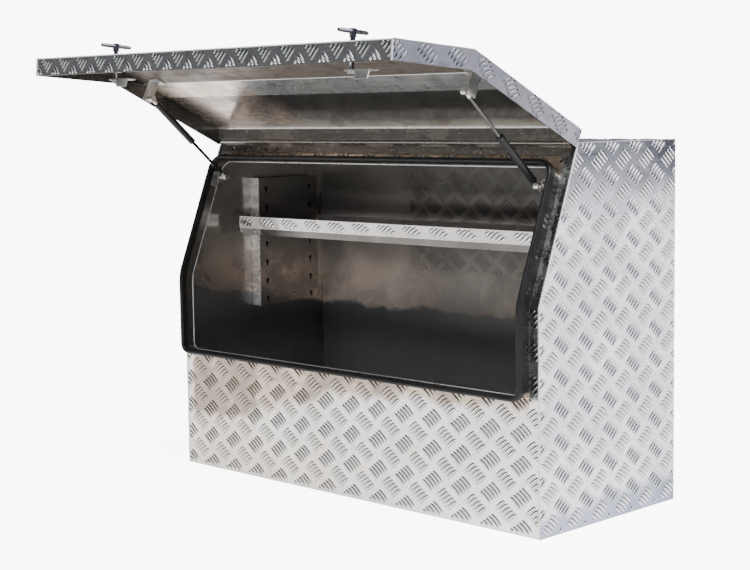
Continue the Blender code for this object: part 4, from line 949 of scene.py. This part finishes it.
def seal():
    """The bulb seal: a ring section carried round the lip's loop, then bent softly over the fold.

    Across the lip and up from the door side, the section is a grip with a groove under a round bulb.
    """
    radius, centre = 0.0060, 0.0345
    turn = np.radians(np.linspace(-24, 204, 17))
    bulb = np.stack([radius * np.cos(turn), centre + radius * np.sin(turn)], -1)
    right = np.array([(0.0014, 0.0318), (0.0014, 0.0238), (0.0052, 0.0235), (0.0060, 0.0243),
                      (0.0061, 0.0278), (0.0052, 0.0292), (0.0050, 0.0306)])
    ring = np.concatenate([right, bulb, right[::-1] * (-1, 1)])
    line, outward = lip_loop_points()
    flat = line[:, None] + outward[:, None] * ring[None, :, :1]
    points = soft_fold(raised(flat, ring[:, 1]))
    piece = make("bulb_seal", points, ring_faces(*points.shape[:2], closed=True), "box", RUBBER)
    piece.data.set_sharp_from_angle(angle=math.radians(50))
    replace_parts(outward_faces(piece), "door_seal")
    return piece


def lip_loop_points():
    """Middle line of the lip and its outward directions: straight runs joined by quarter circles."""
    points, ways = [], []
    corners = ((LIP_X, LIP_LOW, LIP_RADIUS_LOW, -90), (LIP_X, LIP_HIGH, LIP_RADIUS_HIGH, 0),
               (-LIP_X, LIP_HIGH, LIP_RADIUS_HIGH, 90), (-LIP_X, LIP_LOW, LIP_RADIUS_LOW, 180))
    for x, u, radius, start in corners:
        turn = np.radians(start + np.linspace(0, 90, 13))
        middle = np.array([x - np.sign(x) * radius, u + radius if u == LIP_LOW else u - radius])
        out = np.stack([np.cos(turn), np.sin(turn)], -1)
        points.append(middle + radius * out)
        ways.append(out)
    line, outward = np.concatenate(points), np.concatenate(ways)
    points, ways = [], []
    for here, there, way in zip(line, np.roll(line, -1, 0), outward):
        count = max(1, int(np.linalg.norm(there - here) / LIP_STEP))
        share = np.arange(count)[:, None] / count
        points.append(here + (there - here) * share)
        ways.append(np.broadcast_to(way, (count, 2)))
    return np.concatenate(points), np.concatenate(ways)


def soft_fold(points, reach=0.016):
    """As door_side, but the fold is an arc that touches both flats at a reach from the fold line."""
    x, u, n = np.moveaxis(np.asarray(points, float), -1, 0)
    bend = reach / math.tan(SLOPE / 2)
    turn = np.clip((u + reach) / (2 * reach), 0, 1) * SLOPE
    before, beyond = np.minimum(u + reach, 0), np.maximum(u - reach, 0)
    y = bend * (1 - np.cos(turn)) + beyond * math.sin(SLOPE) - n * np.cos(turn)
    z = -reach + before + bend * np.sin(turn) + beyond * math.cos(SLOPE) + n * np.sin(turn)
    return np.stack([x, FRONT + y, FOLD + z], -1)


# Finishes of the part's own nodes

RECORD = frame["record"]
NODE_BODY = {node: body for body, names in RECORD["behaviour"]["bodies"].items() for node in names}
REFINED = ["hinge_body_leaf", "hinge_lid_leaf", "opening_lip", "shelf_stiffener", "lid_hinge_channel"]
KEPT_EDGES = ("lock_barrel", "handle_pin", "key_cylinder")
FINISHES = {
    SIDE_PLATE: ("right_side_panel", "top_panel"),
    FRONT_PLATE: ("front_panel",),
    DEEP_PLATE: ("back_panel", "base_panel"),
    LEFT_PLATE: ("left_side_panel",),
    LIP_METAL: ("opening_lip",),
    SHELF_SHEET: ("shelf_tray",),
    LID_SKIN: ("lid_panel",),
    LID_END: ("lid_left_end", "lid_right_end"),
    UNDERSIDE: ("lid_hinge_channel",),
    INSIDE: ("shelf_stiffener",),
    RUBBER: ("door_seal",),
    STAINLESS: ("hinge_body_leaf", "hinge_lid_leaf", "hinge_pin"),
}
HAND_FINISHES = {
    ZINC: ("strut_body_bracket", "body_ball_stud", "strut_lid_bracket", "strut_lower_socket",
           "strut_upper_socket", "strut_upper_ball", "lock_barrel", "lock_cam", "cam_nut", "handle_pin",
           "key_cylinder"),
    STRUT_PAINT: ("strut_cylinder",),
    ROD_CHROME: ("strut_rod",),
    CHROME: ("lock_dish", "lock_spindle"),
    DARK_CHROME: ("t_handle",),
    RAIL_METAL: ("shelf_rail", "shelf_hanger"),
}


def refined(name, width=0.0005, angle=math.radians(32)):
    """Stands a smooth-shaded copy of a node in for it: points merged, edges rounded over."""
    node = NODES[name]
    shape = bmesh.new()
    shape.from_mesh(node.data)
    bmesh.ops.remove_doubles(shape, verts=shape.verts, dist=0.00002)
    bmesh.ops.dissolve_limit(shape, angle_limit=math.radians(1.0), verts=shape.verts, edges=shape.edges)
    mesh = bpy.data.meshes.new(name + "_finished")
    shape.to_mesh(mesh)
    shape.free()
    item = placed(name + "_finished", mesh)
    mesh.materials.append(node.data.materials[0])
    mesh.shade_smooth()
    mesh.set_sharp_from_angle(angle=angle)
    edge = item.modifiers.new("rounded_edges", "BEVEL")
    edge.width, edge.segments, edge.limit_method, edge.angle_limit = width, 2, "ANGLE", angle
    edge.harden_normals = True
    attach(item, NODE_BODY[name])
    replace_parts(item, name)


def finish_nodes():
    """Gives each of the part's nodes its material, and rounds the small parts' edges."""
    chosen = {node: finish for finish, names in FINISHES.items() for node in names}
    chosen.update({f"{side}_{node}": finish for finish, names in HAND_FINISHES.items()
                   for node in names for side, _ in SIDES})
    for name, item in NODES.items():
        item.data.materials.clear()
        item.data.materials.append(chosen[name])
    small = [name for names in HAND_FINISHES.values() for name in names if name not in KEPT_EDGES]
    for name in REFINED + [f"{side}_{part}" for part in small for side, _ in SIDES]:
        refined(name)


# Floor, light and camera

# Zones of the sky: direction, core and edge angle in degrees, colour
SKY_ZONES = (
    ((-0.07, -0.74, 0.70), 9, 17, (3.0, 3.0, 3.0)),
    ((-1, -1, 0.15), 24, 44, (0.045, 0.045, 0.045)),
    ((0.3, -1, 1.7), 14, 30, (1.4, 1.4, 1.45)),
    ((0.1, 1, 0.25), 26, 42, (0.03, 0.03, 0.04)),
)
BACKDROP, FLOOR_GLOW, FLOOR_LIGHT, FLOOR_REACH = 9.0, 7.0, 0.36, 12
LAMPS = (("key", (0.50, -0.62, 1.30), 22, 5.6), ("rear", (0.9, 0.9, 1.0), 40, 1.4))


def sky():
    """A bright upper sky over a darker horizon, with zones that give the metal its darks and lights.

    A zone is 1 within its core angle of its direction and falls to 0 at its edge angle.
    """
    world = bpy.data.worlds.new("soft_sky")
    world.use_nodes = True
    bpy.context.scene.world = world
    tree = world.node_tree
    way = added(tree, "ShaderNodeTexCoord", "Generated")
    high = ranged(added(tree, "ShaderNodeSeparateXYZ", "Z", Vector=way), 0.10, 0.75)
    colour = blended(high, (0.13, 0.14, 0.19), (0.60, 0.63, 0.70))
    for towards, core, edge, tone in SKY_ZONES:
        near = dot(way, unit(towards))
        part = ranged(near, math.cos(math.radians(edge)), math.cos(math.radians(core)))
        colour = blended(part, colour, tone)
    lit, seen = tree.nodes["Background"], tree.nodes.new("ShaderNodeBackground")
    feed(lit.inputs["Color"], colour)
    feed(seen.inputs["Color"], (1, 1, 1))
    feed(seen.inputs["Strength"], BACKDROP)
    choice = tree.nodes.new("ShaderNodeMixShader")
    feed(choice.inputs["Fac"], added(tree, "ShaderNodeLightPath", "Is Camera Ray"))
    tree.links.new(lit.outputs["Background"], choice.inputs[1])
    tree.links.new(seen.outputs["Background"], choice.inputs[2])
    tree.links.new(choice.outputs["Shader"], tree.nodes["World Output"].inputs["Surface"])


def floor_paint():
    """Pale matt paint that looks near white straight on, while it lights the metal as plain paint."""
    paint = plain_stuff("pale_floor", (0.80, 0.79, 0.78), (0.84, 0.83, 0.82), 0.7, scale=2)
    slots = paint.node_tree.nodes["Principled BSDF"].inputs
    seen = added(paint.node_tree, "ShaderNodeLightPath", "Is Camera Ray")
    feed(slots["Emission Color"], (1, 1, 1))
    feed(slots["Emission Strength"], seen * FLOOR_GLOW + FLOOR_LIGHT)
    return paint


def studio():
    """A pale floor, the sky and two large soft lamps."""
    floor = bpy.data.meshes.new("floor")
    corners = rectangle(-FLOOR_REACH, -FLOOR_REACH, FLOOR_REACH, FLOOR_REACH)
    floor.from_pydata([(x, y, 0) for x, y in corners], [], [(0, 1, 2, 3)])
    ground = placed("floor", floor)
    ground.location.z = -0.0005
    floor.materials.append(floor_paint())
    sky()
    for name, towards, spread, strength in LAMPS:
        lamp = bpy.data.lights.new(name, "SUN")
        lamp.angle = math.radians(spread)
        lamp.energy = strength
        holder = placed(name, lamp)
        holder.rotation_euler = Matrix(basis_towards(-np.array(towards, float))).to_euler()


def basis_towards(way):
    """Columns right, up and backwards of something that looks along a direction."""
    back = -unit(way)
    right = unit(np.cross((0, 0, 1), back))
    return np.stack([right, np.cross(back, right), back], -1).tolist()


def camera():
    """The fitted camera: yaw about Z, pitch down and a little roll."""
    right = np.array([math.cos(YAW), math.sin(YAW), 0])
    level = np.array([-math.sin(YAW), math.cos(YAW), 0])
    forward = level * math.cos(PITCH) - np.array([0, 0, math.sin(PITCH)])
    up = np.cross(right, forward)
    turned_right = math.cos(ROLL) * right + math.sin(ROLL) * up
    turned_up = math.cos(ROLL) * up - math.sin(ROLL) * right
    lens = bpy.data.cameras.new("photo_view")
    lens.lens, lens.sensor_width = LENS, SENSOR
    holder = placed("photo_view", lens)
    holder.matrix_world = Matrix.Translation(EYE) @ Matrix(
        np.stack([turned_right, turned_up, -forward], -1).tolist()).to_4x4()
    bpy.context.scene.camera = holder


camera()
studio()
finish_nodes()
box_treads()
lid_treads()
shelf_treads()
inner_print()
welds()
bright_lines()
seal()
